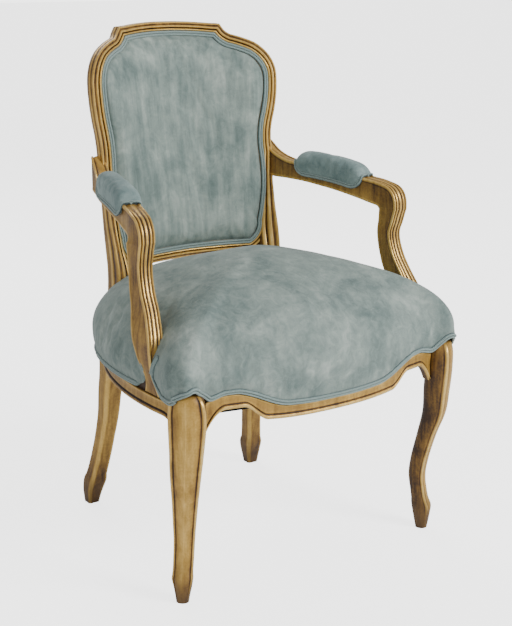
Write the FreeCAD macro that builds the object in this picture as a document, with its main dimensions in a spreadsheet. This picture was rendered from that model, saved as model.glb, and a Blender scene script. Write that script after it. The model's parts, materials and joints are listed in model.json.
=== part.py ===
import FreeCAD, Part
import math
import os

import Sketcher
from FreeCAD import Placement, Rotation, Vector

# An open-arm upholstered chair with a carved wooden frame.
# Millimetres, +Z up, the sitter faces -Y, and the sitter's left is +X.

SIZES = {
    # Plan of the seat frame at the outer faces of its rails
    "front_reach": 297,
    "front_sweep": 33,
    "front_end": 253,
    "side_start": 300,
    "side_start_forward": 185,
    "side_middle": 289,
    "side_middle_forward": 20,
    "rear_corner": 205,
    "rear_corner_back": 190,
    "rear_edge": 214,
    # Seat rails
    "rail_thickness": 34,
    "rail_board": 16,
    "rail_lip": 6.5,
    "rail_top": 398,
    "rail_under": 352,
    "front_lower_edge": 326,
    "front_arch_rise": 34,
    "front_wood": 23,
    "side_lower_edge": 343,
    "side_wood": 28,
    "rear_rail_thickness": 26,
    # Front legs
    "knee_x": 283,
    "knee_forward": 256,
    "knee_height": 399,
    "knee_width": 60,
    "knee_depth": 52,
    "ankle_width": 33,
    "toe_width": 38,
    "front_foot_in": 2,
    "front_foot_back": 33,
    "foot_width": 23,
    "front_post": 44,
    # Back legs and stiles
    "rear_foot_x": 202,
    "rear_foot_back": 268,
    "rear_toe_width": 40,
    "rear_leg_width": 35,
    "post_inner": 152,
    "post_outer": 204,
    "post_front": 166,
    "stile_depth": 50,
    # Back frame: inner edge of the wood, seen from the front
    "crest_height": 963,
    "crest_half": 105,
    "crest_drop": 6,
    "step_half": 128,
    "step_drop": 26,
    "shoulder_half": 166,
    "shoulder_drop": 41,
    "wide_half": 193,
    "wide_drop": 95,
    "waist_half": 179,
    "waist_height": 715,
    "hip_half": 167,
    "hip_height": 575,
    "base_half": 140,
    "base_height": 528,
    # Back frame: its curved front surface and its section
    "bow_half": 194,
    "bow_height": 700,
    "bow_place": 169.3,
    "bow_rake": 0.0865,
    "bow_depth": 60,
    "bow_growth": 0.089,
    "crest_face": 17,
    "stile_face": 20,
    "frame_depth": 28,
    "frame_lean": 0.1,
    "ledge": 12,
    "ledge_sink": 5,
    "lower_rail_face": 24,
    # Arms and their supports
    "arm_width": 33,
    "arm_joint": 627,
    "elbow_forward": 125,
    "elbow_height": 672,
    "elbow_x": 284,
    "support_width": 30,
    "support_foot": 372,
    # Upholstery
    "crown_height": 562,
    "brow_height": 412,
    "cover_bulge": 8,
    "seat_tilt": 0.047,
    "cover_thickness": 2.5,
    "seat_centre_forward": 40,
    "back_crown": 17,
    "cloth": 1.2,
    "welt": 5,
    "pad_front": 46,
    "pad_rear": 119,
    "pad_rise": 22,
    "pad_cover": 2,
    # Springs and webbing
    "strap_width": 50,
    "strap_pitch": 62,
    "spring_pitch": 112,
    "spring_wire": 4,
    "spring_end": 38,
    "spring_waist": 24,
    "spring_turns": 5,
    "spring_top": 444,
    "mound_height": 456,
    # Joints and fasteners
    "tenon_thickness": 12,
    "tenon_height": 30,
    "tenon_length": 22,
    "glue_gap": 0.2,
    "soft_gap": 0.3,
    "peg_diameter": 7,
    "peg_length": 30,
    "screw_shank": 4,
    "screw_head": 8,
    "block_height": 30,
    # The frame's origin lies midway between the front and back extremes
    "origin_shift": -1.9,
}

doc = FreeCAD.newDocument("Fauteuil")
sheet = doc.addObject("Spreadsheet::Sheet", "Sizes")
for row, (alias, value) in enumerate(SIZES.items(), start=1):
    sheet.set(f"A{row}", alias)
    sheet.set(f"B{row}", str(value))
    sheet.setAlias(f"B{row}", alias)
doc.recompute()


class Named:
    """The sheet's values, read once by name."""


s = Named()
for alias in SIZES:
    setattr(s, alias, float(sheet.get(alias)))

parts = []


def keep(item, label):
    """List an object as a sub-part under its own label."""
    item.Label = label
    parts.append(item)
    return item


def feature(label, shape):
    """A sub-part whose shape is worked out here; the placement shifts it to the origin."""
    item = doc.addObject("Part::Feature", label)
    item.Shape = shape
    item.Placement = Placement(Vector(0, s.origin_shift, 0), Rotation())
    return keep(item, label)


def mirrored(shape):
    return shape.mirror(Vector(0, 0, 0), Vector(1, 0, 0))


def both_sides(name, shape):
    feature(name + "_left", shape)
    feature(name + "_right", mirrored(shape))


# Wires, lofts and boxes

def ring(place, path):
    """A closed wire. Each step is an end point, or a middle and an end point of an arc."""
    edges = []
    here = place(*path[-1][-1])
    for step in path:
        there = place(*step[-1])
        if len(step) == 2:
            edges.append(Part.Arc(here, place(*step[0]), there).toShape())
        else:
            edges.append(Part.LineSegment(here, there).toShape())
        here = there
    return Part.Wire(edges)


def loft(wires, ruled=True):
    solid = Part.makeLoft(wires, True, ruled)
    if solid.Volume < 0:
        solid.reverse()
    return solid


def block(x_low, x_high, y_low, y_high, z_low, z_high):
    return Part.makeBox(x_high - x_low, y_high - y_low, z_high - z_low, Vector(x_low, y_low, z_low))


def fused(first, *others):
    result = first
    for other in others:
        result = result.fuse(other)
    return result.removeSplitter()


def largest(shape):
    """The main solid of a cut, without slivers."""
    return max(shape.Solids, key=lambda solid: solid.Volume)


def blend(low, high, share):
    return low + (high - low) * share


def ease(share):
    """A smooth rise from 0 to 1."""
    return share * share * (3 - 2 * share)


# Plan of the seat: front arc, knee and side arc

def circle_of(a, b, c):
    """Centre and radius of the circle through three points of a plane."""
    arc = Part.Circle(Vector(*a, 0), Vector(*b, 0), Vector(*c, 0))
    return arc.Center.x, arc.Center.y, arc.Radius


front_line = circle_of(
    (-s.front_end, s.front_sweep - s.front_reach),
    (0, -s.front_reach),
    (s.front_end, s.front_sweep - s.front_reach),
)
side_line = circle_of(
    (s.side_start, -s.side_start_forward),
    (s.side_middle, -s.side_middle_forward),
    (s.rear_corner, s.rear_corner_back),
)


def front_point(x):
    """Point and outward direction on the front rail's outer face."""
    centre_x, centre_y, radius = front_line
    y = centre_y - math.sqrt(radius ** 2 - (x - centre_x) ** 2)
    return Vector(x, y, 0), Vector(x - centre_x, y - centre_y, 0).normalize()


def side_point(y):
    """Point and outward direction on the left side rail's outer face."""
    centre_x, centre_y, radius = side_line
    x = centre_x + math.sqrt(radius ** 2 - (y - centre_y) ** 2)
    return Vector(x, y, 0), Vector(x - centre_x, y - centre_y, 0).normalize()


UP = Vector(0, 0, 1)


# Seat rails: a moulded outer board that follows the carved edge, and an inner strip

def rail_board_wire(point, outward, low, high):
    place = lambda u, z: point + outward * u + UP * z
    middle = (low + high) / 2
    return ring(place, [
        ((-5, low),),
        ((1.2, low + 1.6), (0.6, low + 6.5)),
        ((-2.2, low + 8.5),),
        ((-1, low + 10.5),),
        ((-1.9, middle + 4), (-0.4, high - 3)),
        ((0.2, high - 1.2), (-1.2, high)),
        ((-s.rail_lip, high),),
        ((-s.rail_lip, s.rail_top),),
        ((-s.rail_board, s.rail_top),),
        ((-s.rail_board, low + 1),),
    ])


def rail_strip_wire(point, outward):
    place = lambda u, z: point + outward * u + UP * z
    near = 1 - s.rail_board
    far = -s.rail_thickness
    return ring(place, [
        ((near, s.rail_under),),
        ((near, s.rail_top),),
        ((far, s.rail_top),),
        ((far, s.rail_under),),
    ])


def front_edge(x):
    """Lower edge of the front rail: a low middle, and an arch towards each leg."""
    reach = abs(x)
    drop = s.front_lower_edge
    arch = s.front_arch_rise
    hollow = 138
    top_start = 186
    top_end = 218
    if reach <= hollow:
        return drop + 5 * (reach / hollow) ** 3
    if reach <= top_start:
        return drop + blend(5, arch, ease((reach - hollow) / (top_start - hollow)))
    if reach <= top_end:
        return drop + arch
    return drop + arch - 0.028 * (reach - top_end) ** 2


def front_lip(x):
    """Upper edge of the front rail's visible wood."""
    reach = abs(x)
    flat = 95
    top_start = 208
    rise = s.front_arch_rise + 3
    level = s.front_lower_edge + s.front_wood
    if reach <= flat:
        return level + 2 * (reach / flat) ** 3
    if reach <= top_start:
        return level + blend(2, rise, ease((reach - flat) / (top_start - flat)))
    return level + rise - 0.004 * (reach - top_start) ** 2


front_half = s.knee_x - 33
front_marks = (0, 45, 85, 115, 138, 152, 168, 186, 202, 218, 234)
front_beyond = front_half + 14
front_stations = [-front_beyond] + [-x for x in front_marks[:0:-1]] + list(front_marks) + [front_beyond]


def front_rail_solid():
    boards = []
    strips = []
    for x in front_stations:
        point, outward = front_point(x)
        boards.append(rail_board_wire(point, outward, front_edge(x), front_lip(x)))
        strips.append(rail_strip_wire(point, outward))
    ends = block(-front_half, front_half, -2 * s.front_reach, 0, 0, 2 * s.rail_top)
    return fused(loft(boards), loft(strips)).common(ends)


side_front = -(s.knee_forward - 30)
side_back = s.rear_corner_back + 6


def side_edge(y):
    """Lower edge of a side rail, curving down into the legs."""
    from_leg = y - side_front
    to_leg = s.post_front - y
    dip = 14 * max(0, 1 - from_leg / 34) ** 2 + 9 * max(0, 1 - max(to_leg, 0) / 60) ** 2
    return s.side_lower_edge - dip


def side_lip(y):
    return s.side_lower_edge + s.side_wood


side_marks = (10, 22, 36, 66, 116, 176, 236, 296, 344, 376, 392)


def side_rail_solid():
    boards = []
    strips = []
    for step in (-10,) + side_marks:
        y = side_front + step
        point, outward = side_point(y)
        boards.append(rail_board_wire(point, outward, side_edge(y), side_lip(y)))
        strips.append(rail_strip_wire(point, outward))
    point, outward = side_point(side_back)
    boards.append(rail_board_wire(point, outward, side_edge(side_back), side_lip(side_back)))
    strips.append(rail_strip_wire(point, outward))
    ends = block(0, 2 * s.side_start, side_front, side_back - 4, 0, 2 * s.rail_top)
    return fused(loft(boards), loft(strips)).common(ends)


# Front legs

OUT_DIAGONAL = Vector(math.sqrt(0.5), -math.sqrt(0.5), 0)
SIDE_DIAGONAL = Vector(math.sqrt(0.5), math.sqrt(0.5), 0)


def knee_wire(centre, width, depth, bead, groove):
    """A leg section: a swelling front between two beads, and a rounded inner side."""
    place = lambda t, r: centre + SIDE_DIAGONAL * t + OUT_DIAGONAL * r
    half = width / 2
    front = depth / 2
    edge = front - 0.16 * depth
    return ring(place, [
        ((half - bead, edge + 0.3 * bead),),
        ((half - 0.15 * bead, edge + 0.15 * bead), (half, edge - bead),),
        ((0.4 * width, -0.18 * depth),),
        ((0, -front), (-0.4 * width, -0.18 * depth)),
        ((-half, edge - bead),),
        ((-half + 0.15 * bead, edge + 0.15 * bead), (-half + bead, edge + 0.3 * bead)),
        ((-half + bead + groove, edge - groove + 0.3 * bead),),
        ((0, front), (half - bead - groove, edge - groove + 0.3 * bead)),
    ])


def front_leg_centre(height, outward, forward):
    return Vector(
        s.knee_x - s.front_foot_in + outward,
        s.front_foot_back - s.knee_forward - forward,
        height,
    )


def front_leg_solid():
    """Each row: share of the knee's height, outward, forward, width, depth."""
    slim = s.ankle_width
    rows = (
        (0.0, 0, 0, s.foot_width, s.foot_width),
        (0.030, -0.4, 0.3, s.foot_width + 4, s.foot_width + 5),
        (0.085, -1.4, 0.8, s.toe_width - 4, s.toe_width - 3),
        (0.118, -2.0, 1.0, s.toe_width, s.toe_width + 1),
        (0.150, -4.2, -0.6, slim + 2, slim + 2),
        (0.205, -7.4, -3.0, slim + 1, slim),
        (0.285, -10.7, -5.3, slim, slim + 0.5),
        (0.380, -9.2, -0.4, slim + 3, slim + 2),
        (0.510, -4.0, 11.4, slim + 8, slim + 5),
        (0.630, 1.6, 24.0, slim + 15, slim + 12),
        (0.750, 1.5, 29.0, s.knee_width - 7, s.knee_depth - 2),
        (0.850, 1.9, 32.5, s.knee_width - 2, s.knee_depth),
        (0.935, 2.0, 33.0, s.knee_width, s.knee_depth + 1),
        (0.975, 2.0, 32.0, s.knee_width - 3, s.knee_depth - 2),
        (1.0, 2.0, 30.0, s.knee_width - 14, s.knee_depth - 12),
    )
    wires = []
    for share, outward, forward, width, depth in rows:
        centre = front_leg_centre(share * s.knee_height, outward, forward)
        fade = min(1, max(0.3, (share - 0.1) / 0.1))
        wires.append(knee_wire(centre, width, depth, 4.5 * fade, 2.2 * fade))
    return loft(wires)


front_post_x = (front_half, front_half + s.front_post + 3)
front_post_y = (side_front - s.front_post, side_front)


def front_post_solid():
    return block(*front_post_x, *front_post_y, s.side_lower_edge - 8, s.rail_top - 2)


# The back's curved front surface: a raked bow that deepens upwards

def bow_y(x, z):
    above = z - s.bow_height
    place = s.bow_place + s.bow_rake * above
    depth = s.bow_depth + s.bow_growth * above
    return place + depth * (1 - (x / s.bow_half) ** 2)


# Inner edge of the back's wood: each run is an end point and how far its arc bulges outwards

back_runs = (
    ((s.crest_half, s.crest_height - s.crest_drop), 1.6, 8),
    ((s.step_half, s.crest_height - s.step_drop), -2.5, 3),
    ((s.shoulder_half, s.crest_height - s.shoulder_drop), 1.3, 4),
    ((s.wide_half, s.crest_height - s.wide_drop), 7.6, 5),
    ((blend(s.waist_half, s.wide_half, 0.36), blend(s.waist_height, s.crest_height - s.wide_drop, 0.49)), 2.3, 3),
    ((s.waist_half, s.waist_height), -3.1, 3),
    ((s.hip_half, s.hip_height), 6.0, 4),
    ((s.base_half, s.base_height), 8.0, 4),
    ((0, s.base_height + 1), 0.1, 8),
)
CREST_RUNS = 4
STILE_RUNS = 7


def run_point(start, end, bulge, share):
    """Point and outward normal at a share of an arc given by its ends and its bulge."""
    chord_x = end[0] - start[0]
    chord_z = end[1] - start[1]
    chord = math.hypot(chord_x, chord_z)
    along = (chord_x / chord, chord_z / chord)
    across = (-along[1], along[0])
    half_turn = 2 * math.atan(2 * bulge / chord)
    if abs(half_turn) < 1e-4:
        half_turn = 1e-4
    radius = chord / (2 * math.sin(half_turn))
    turn = half_turn * (2 * share - 1)
    forward = chord / 2 + radius * math.sin(turn)
    outward = radius * (math.cos(turn) - math.cos(half_turn))
    point = (
        start[0] + along[0] * forward + across[0] * outward,
        start[1] + along[1] * forward + across[1] * outward,
    )
    normal = (
        along[0] * math.sin(turn) + across[0] * math.cos(turn),
        along[1] * math.sin(turn) + across[1] * math.cos(turn),
    )
    return point, normal


def back_stations():
    """Stations along the inner edge: point, normal and stretch, one list for each run."""
    start = (0, s.crest_height)
    runs = []
    for end, bulge, steps in back_runs:
        runs.append([run_point(start, end, bulge, step / steps) for step in range(steps + 1)])
        start = end
    joined = []
    for index, run in enumerate(runs):
        stations = [[point, normal, 1.0] for point, normal in run]
        for edge, other in ((0, index - 1), (-1, index + 1)):
            if 0 <= other < len(runs):
                neighbour = runs[other][-1 if edge == 0 else 0][1]
                mine = run[edge][1]
                total = (mine[0] + neighbour[0], mine[1] + neighbour[1])
                length = math.hypot(*total)
                stations[edge][1] = (total[0] / length, total[1] / length)
                stations[edge][2] = 2 / length
        joined.append(stations)
    joined[0][0][1] = (0, 1)
    joined[-1][-1][1] = (0, -1)
    return joined


stations_by_run = back_stations()


def frame_path(width, near, far, back, ledge_near, ledge_back, ledge):
    """The moulding's section: across the face from its inner edge, and from front to back."""
    face = lambda u: near + (far - near) * u / width
    return [
        ((1.0, face(0) + 1.2), (5, face(5) + 1.5)),
        ((7.2, face(7.2) + 5),),
        ((9.5, face(9.5) + 2.4),),
        (((9.5 + width) / 2 + 1, face(width) - 0.3), (width - 0.5, face(width) + 4)),
        ((width - 2.6, face(width) + 8), (width, face(width) + 12)),
        ((width + 0.8, face(width) + 14.5), (width, face(width) + 17)),
        ((width - 0.8, back - 5),),
        ((width - 2.2, back - 1.4), (width - 6, back)),
        ((0, back),),
        ((-ledge, ledge_back),),
        ((-ledge, ledge_near),),
        ((0, face(0) + s.ledge_sink),),
    ]


def frame_wire(station, depth=None):
    (x, z), (normal_x, normal_z), stretch = station
    side = abs(normal_x)
    width = blend(s.crest_face, s.stile_face, side)
    near = bow_y(x, z)
    far = near - s.frame_lean * width * side
    back = near + s.frame_depth
    ledge_y = bow_y(x - normal_x * s.ledge, z - normal_z * s.ledge)
    path = frame_path(width, near, far, back, ledge_y + s.ledge_sink, ledge_y + s.frame_depth, s.ledge)
    place = lambda u, y: Vector(x + normal_x * u * stretch, y, z + normal_z * u * stretch)
    return ring(place, path)


def run_loft(wire_of, first, last):
    """A loft along the back's edge from one run to another."""
    wires = [wire_of(stations_by_run[first][0])]
    for run in stations_by_run[first:last]:
        wires += [wire_of(station) for station in run[1:]]
    return loft(wires)


def crest_rail_solid():
    left_arch = run_loft(frame_wire, 0, 1)
    left_shoulder = run_loft(frame_wire, 1, CREST_RUNS)
    half = fused(left_arch, left_shoulder)
    return fused(half, mirrored(half))


def stile_wire(height, x_in, x_out, near, far, back, ledge):
    ledge_y = bow_y(x_in - ledge, height) + s.ledge_sink if ledge > 2 else near + s.ledge_sink
    path = frame_path(x_out - x_in, near, far, back, ledge_y, back, ledge)
    return ring(lambda u, y: Vector(x_in + u, y, height), path)


def stile_solid():
    upper = run_loft(frame_wire, CREST_RUNS, STILE_RUNS - 1)
    hip_x, hip_z = s.hip_half, s.hip_height
    waist = stations_by_run[STILE_RUNS - 2][-1]
    inner = lambda z: run_point((s.waist_half, s.waist_height), (hip_x, hip_z), 6.0, (s.waist_height - z) / (s.waist_height - hip_z))[0][0]
    front = s.post_front
    deep = s.stile_depth
    wires = [frame_wire(waist)]
    # Each row: height, inner x, outer x, inner and outer front, back, ledge width
    rows = (
        (655, inner(655), 196, bow_y(inner(655), 655), 170, 203, s.ledge),
        (603, inner(603), 195, bow_y(inner(603), 603), 158, 200, s.ledge),
        (560, 165, 194, bow_y(165, 560), front - 22, 196, s.ledge),
        (520, 161, 193, front - 10, front - 28, front - 28 + deep + 4, 1),
        (480, 158, 193, front - 18, front - 28, front - 28 + deep + 4, 1),
        (440, 155, 193, front - 16, front - 22, front - 22 + deep + 6, 1),
        (392, s.post_inner + 1, 193, front - 1, front - 4, front + deep - 1, 1),
    )
    for row in rows:
        wires.append(stile_wire(*row))
    return upper, loft(wires)


def rounded_wire(centre_x, centre_y, height, across, along, radius):
    """A horizontal rounded rectangle."""
    a = across / 2
    b = along / 2
    c = radius * (1 - math.sqrt(0.5))
    place = lambda x, y: Vector(centre_x + x, centre_y + y, height)
    return ring(place, [
        ((a - radius, -b),),
        ((a - c, -b + c), (a, -b + radius)),
        ((a, b - radius),),
        ((a - c, b - c), (a - radius, b)),
        ((-a + radius, b),),
        ((-a + c, b - c), (-a, b - radius)),
        ((-a, -b + radius),),
        ((-a + c, -b + c), (-a + radius, -b)),
    ])


def back_leg_lower():
    """Each row: height, how far in and forward of the foot, across, along, corner radius."""
    slim = s.rear_leg_width
    toe = s.rear_toe_width
    rows = (
        (0, 0, 0, s.foot_width + 2, s.foot_width + 2, 6),
        (12, 0.5, 1, s.foot_width + 6, s.foot_width + 6, 7),
        (30, 2, 3, slim, slim, 9),
        (50, 4.5, 8, toe, toe, 10),
        (68, 7, 13, slim + 1, slim + 1, 9),
        (100, 12, 21, slim, slim, 9),
        (150, 18.5, 31, slim, slim, 9),
        (200, 23.5, 40, slim + 2, slim + 2, 9),
        (250, 26, 45, slim + 5, slim + 5, 9),
        (300, 27, 55, slim + 7, slim + 10, 9),
        (340, 27, 62, slim + 8, slim + 17, 9),
        (s.rail_top, 28.5, 80, slim + 6, slim + 20, 9),
    )
    return loft([
        rounded_wire(s.rear_foot_x - inward, s.rear_foot_back - forward, height, across, along, radius)
        for height, inward, forward, across, along, radius in rows
    ])


def back_post_solid():
    return block(
        s.post_inner, s.post_outer, s.post_front, s.rear_edge, s.side_lower_edge - 9, s.rail_top - 1
    )


# Tenons: one set of boxes makes both the tenon and, with the glue gap, its mortise

tenon_low = s.rail_under + 5
tenon_high = tenon_low + s.tenon_height


def tenon(x_low, x_high, y_low, y_high, z_low, z_high, grow):
    return block(x_low - grow, x_high + grow, y_low - grow, y_high + grow, z_low - grow, z_high + grow)


half_tenon = s.tenon_thickness / 2
front_tenon_y = front_point(front_half)[0].y + 19
side_front_tenon_x = side_point(side_front)[0].x - 22
side_rear_tenon_x = s.post_outer - 12
rear_rail_y = s.rear_edge - 6 - s.rear_rail_thickness / 2
stile_top = s.crest_height - s.wide_drop
lower_rail_z = s.base_height - 12


def front_rail_tenon(grow):
    x_root = front_half - 1
    return tenon(
        x_root, front_half + s.tenon_length, front_tenon_y - half_tenon, front_tenon_y + half_tenon,
        tenon_low, tenon_high, grow,
    )


def side_rail_front_tenon(grow):
    short = s.tenon_length - 10
    return tenon(
        side_front_tenon_x - half_tenon, side_front_tenon_x + half_tenon,
        side_front - short, side_front + 1, tenon_low, tenon_high, grow,
    )


def side_rail_rear_tenon(grow):
    return tenon(
        side_rear_tenon_x - half_tenon, side_rear_tenon_x + half_tenon,
        s.post_front - 1, s.post_front + s.tenon_length, tenon_low, tenon_high, grow,
    )


def rear_rail_tenon(grow):
    return tenon(
        s.post_inner - 1, s.post_inner + s.tenon_length - 8,
        rear_rail_y - half_tenon, rear_rail_y + half_tenon, tenon_low, tenon_high, grow,
    )


def lower_rail_tenon(grow):
    middle = bow_y(s.hip_half, lower_rail_z) + 13
    return tenon(
        s.hip_half - 12, s.hip_half + 14, middle - 4, middle + 4, lower_rail_z - 8, lower_rail_z + 6, grow
    )


def stile_tenon(grow):
    middle_x = s.wide_half + 7
    middle_y = bow_y(s.wide_half, stile_top) + 15
    return tenon(
        middle_x - 5, middle_x + 5, middle_y - 5, middle_y + 5, stile_top - 1, stile_top + 16, grow
    )


def peg(axis_point, direction, grow=0):
    return Part.makeCylinder(s.peg_diameter / 2 + grow, s.peg_length, axis_point, direction)


peg_z = (tenon_low + tenon_high) / 2
PEGS = (
    peg(Vector(front_half + 8, side_front, peg_z), Vector(0, -1, 0)),
    peg(Vector(front_half, side_front - 6, peg_z - 9), Vector(1, 0, 0)),
    peg(Vector(s.post_inner, s.post_front + 12, peg_z), Vector(1, 0, 0)),
)


# Arms and arm supports

def bar_wire(centre, across, upward, half, low, high):
    """A bar section: a fluted top between two beads, plain sides and a softened underside."""
    place = lambda a, b: centre + across * a + upward * b
    bead = 0.3 * half
    flute = 0.5 * bead
    return ring(place, [
        ((half - bead, low),),
        ((half - 0.3 * bead, low + 0.3 * bead), (half, low + bead)),
        ((half, high - 1.3 * bead),),
        ((half - 0.1 * bead, high - 0.3 * bead), (half - bead, high)),
        ((0.45 * half, high - flute), (0, high - 0.2 * flute)),
        ((-0.45 * half, high - flute), (-half + bead, high)),
        ((-half + 0.1 * bead, high - 0.3 * bead), (-half, high - 1.3 * bead)),
        ((-half, low + bead),),
        ((-half + 0.3 * bead, low + 0.3 * bead), (-half + bead, low)),
    ])


arm_rows = (
    (196, -200, 736, 668, 26),
    (207, -172, 716, 665, 28),
    (220, -135, 702, 664, 31),
    (234, -90, 702, 661, 33),
    (251, -20, 697, 653, 34),
    (265, 40, 688, 643, 34),
    (270, 64, 685, 638, 34),
)


def arm_frame(index):
    """Centre and outward direction of an arm station, square to its path in plan."""
    before = arm_rows[max(index - 1, 0)]
    after = arm_rows[min(index + 1, len(arm_rows) - 1)]
    along = Vector(after[0] - before[0], before[1] - after[1], 0).normalize()
    across = Vector(-along.y, along.x, 0)
    row = arm_rows[index]
    return Vector(row[0], -row[1], 0), across


def arm_solid():
    wires = []
    for index, (_, _, top, bottom, width) in enumerate(arm_rows):
        centre, across = arm_frame(index)
        wires.append(bar_wire(centre, across, UP, width / 2, bottom, top))
    elbow_out = arm_frame(len(arm_rows) - 1)[1]
    ridge = Vector(s.elbow_x, -s.elbow_forward, s.elbow_height)
    crook = Vector(s.elbow_x - 4, -s.elbow_forward + 42, s.arm_joint + 6)
    mitre = (ridge - crook).normalize()
    mitre_high = ridge.distanceToPoint(crook)
    wires.append(bar_wire(crook, elbow_out, mitre, s.arm_width / 2, 0, mitre_high))
    level = loft(wires)
    turn = loft([
        bar_wire(crook, elbow_out, mitre, s.arm_width / 2, 0, mitre_high),
        support_wire(support_rows()[0], 0),
    ])
    return fused(level, turn)


def support_rows():
    """Each row: height, centre x, rear and front distances forward of the origin, width."""
    wide = s.support_width
    reach = s.elbow_forward
    return (
        (s.arm_joint, s.elbow_x, reach - 44, reach + 7, wide + 2),
        (606, s.elbow_x - 1, reach - 44, reach - 1, wide + 1),
        (580, s.elbow_x - 3, reach - 45, reach - 7, wide),
        (545, s.elbow_x - 1, reach - 40, reach + 3, wide),
        (515, s.elbow_x + 2, reach - 32, reach + 21, wide),
        (482, s.elbow_x + 9, reach - 20, reach + 41, wide + 1),
        (455, s.elbow_x + 13, reach - 9, reach + 49, wide - 2),
        (430, s.elbow_x + 13, reach + 4, reach + 52, wide - 5),
        (408, s.elbow_x + 11, reach + 20, reach + 49, wide - 8),
        (390, s.elbow_x + 9, reach + 18, reach + 52, wide - 13),
        (s.support_foot, s.elbow_x + 8, reach + 10, reach + 60, wide - 16),
    )


def support_wire(row, grow):
    height, x, rear, front, width = row
    centre = Vector(x, 0, height)
    return bar_wire(centre, Vector(1, 0, 0), Vector(0, -1, 0), width / 2 + grow, rear - grow, front + grow)


def support_solid(grow=0):
    rows = list(support_rows())
    return loft([support_wire(row, grow) for row in rows])


support_screws_x = (s.side_start - s.rail_thickness - 1, s.elbow_x + 13)
support_screw_y = -(s.elbow_forward + 33.5)
support_screw_z = (s.support_foot + 8, s.support_foot + 19)


def screw(tip_length, place, direction):
    """A countersunk wood screw: a coned head and a plain shank."""
    head_radius = s.screw_head / 2
    shank_radius = s.screw_shank / 2
    head = Part.makeCone(head_radius, shank_radius, 3, place, direction)
    shank = Part.makeCylinder(shank_radius, tip_length - 2, place + direction * 2, direction)
    return head.fuse(shank).removeSplitter()


def support_screw_set():
    start, end = support_screws_x
    return [
        screw(end - start, Vector(start, support_screw_y, z), Vector(1, 0, 0)) for z in support_screw_z
    ]


# Seat upholstery: one outline, scaled about the seat's centre at each level

def seat_path(swell, inset):
    """Plan of the upholstery, as arcs: swollen between the knees, then drawn in all round."""
    grow = swell - inset
    front_y = s.front_sweep - s.front_reach
    start = (-s.front_end, front_y - grow)
    knee_out = s.knee_width / 2 - inset
    knee_mid = (s.knee_x + 0.45 * knee_out, -s.knee_forward - 0.75 * knee_out)
    knee_end = (s.knee_x + knee_out, -s.knee_forward + 14)
    side_mid = (s.side_middle + grow, -s.side_middle_forward)
    corner = (s.rear_corner + grow, s.rear_corner_back)
    rear = s.rear_edge - 4.2 + grow
    return [
        ((0, -s.front_reach - grow), (s.front_end, front_y - grow)),
        (knee_mid, knee_end),
        (side_mid, corner),
        ((corner[0] - 18, rear - 3), (corner[0] - 45, rear)),
        ((45 - corner[0], rear),),
        ((18 - corner[0], rear - 3), (-corner[0], corner[1])),
        ((-side_mid[0], side_mid[1]), (-knee_end[0], knee_end[1])),
        ((-knee_mid[0], knee_mid[1]), start),
    ]


def seat_wire(height, share, swell, inset, tilt=0):
    centre_y = -s.seat_centre_forward
    place = lambda x, y: Vector(
        share * x, centre_y + share * (y - centre_y), height - tilt * share * (y - centre_y)
    )
    return ring(place, seat_path(swell, inset))


def dome(inset):
    """The domed seat, swelling to the brow and rising from there to the crown."""
    rise = s.crown_height - s.brow_height - inset
    wires = [
        seat_wire(s.front_lower_edge + 8, 1, 1.0, inset),
        seat_wire(s.brow_height - 28, 1, 0.7 * s.cover_bulge, inset),
    ]
    for share in (0, 0.27, 0.47, 0.62, 0.76, 0.87, 0.95, 0.99):
        scale = (1 - share ** 2.48) ** (1 / 1.5)
        height = s.brow_height + share * rise
        wires.append(seat_wire(height, scale, s.cover_bulge, inset, s.seat_tilt * share))
    return loft(wires)


# The seat gimp's line: seen from the front over rail and knees, and from the side around the support

def front_gimp_line():
    valley = s.knee_height - 20
    rail = [(x, front_lip(x) + s.welt + 0.5) for x in (0, 40, 80, 110, 135, 155, 175, 195, 215, 235)]
    knee = [
        (s.knee_x - 33, valley),
        (s.knee_x - 21, valley + 11),
        (s.knee_x - 8, s.knee_height + 3),
        (s.knee_x + 6, s.knee_height + 8),
        (s.knee_x + 18, s.knee_height + 5),
        (s.knee_x + 28, s.knee_height - 1),
        (s.knee_x + 60, s.knee_height - 8),
    ]
    right = rail + knee
    return [(-x, z) for x, z in right[:0:-1]] + right


support_axis = -(s.elbow_forward + 34)


def side_gimp_line():
    lip = s.side_lower_edge + s.side_wood
    valley = s.knee_height - 17
    return [
        (-s.knee_forward - 60, s.knee_height - 2),
        (-s.knee_forward - 6, s.knee_height - 6),
        (side_front - 24, valley),
        (support_axis - 49, valley - 1),
        (support_axis - 28, valley + 7),
        (support_axis - 17, valley + 19),
        (support_axis - 14, valley + 36),
        (support_axis - 23, valley + 56),
        (support_axis - 36, valley + 76),
        (support_axis - 28, valley + 92),
        (support_axis + 30, valley + 92),
        (support_axis + 46, valley + 58),
        (support_axis + 29, valley + 47),
        (support_axis + 16, valley + 33),
        (support_axis + 13, valley + 18),
        (support_axis + 25, valley + 4),
        (support_axis + 49, valley - 5),
        (support_axis + 91, lip + 4),
        (s.post_front - 40, lip + 4),
        (s.rear_edge + 20, lip + 4),
    ]


def offset_line(points, offset):
    """An open line moved to its left by an offset, mitred at its corners."""
    moved = []
    for index, point in enumerate(points):
        before = points[max(index - 1, 0)]
        after = points[min(index + 1, len(points) - 1)]
        normals = []
        for start, end in ((before, point), (point, after)):
            run = (end[0] - start[0], end[1] - start[1])
            length = math.hypot(*run)
            if length > 0:
                normals.append((-run[1] / length, run[0] / length))
        total = (sum(n[0] for n in normals), sum(n[1] for n in normals))
        size = math.hypot(*total)
        stretch = offset * min(len(normals) / size, 1.5)
        moved.append((point[0] + total[0] / size * stretch, point[1] + total[1] / size * stretch))
    return moved


def prism(points, place, along):
    """A straight prism over a closed outline."""
    wire = ring(place, [(point,) for point in points])
    return Part.Face(wire).extrude(along)


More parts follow.
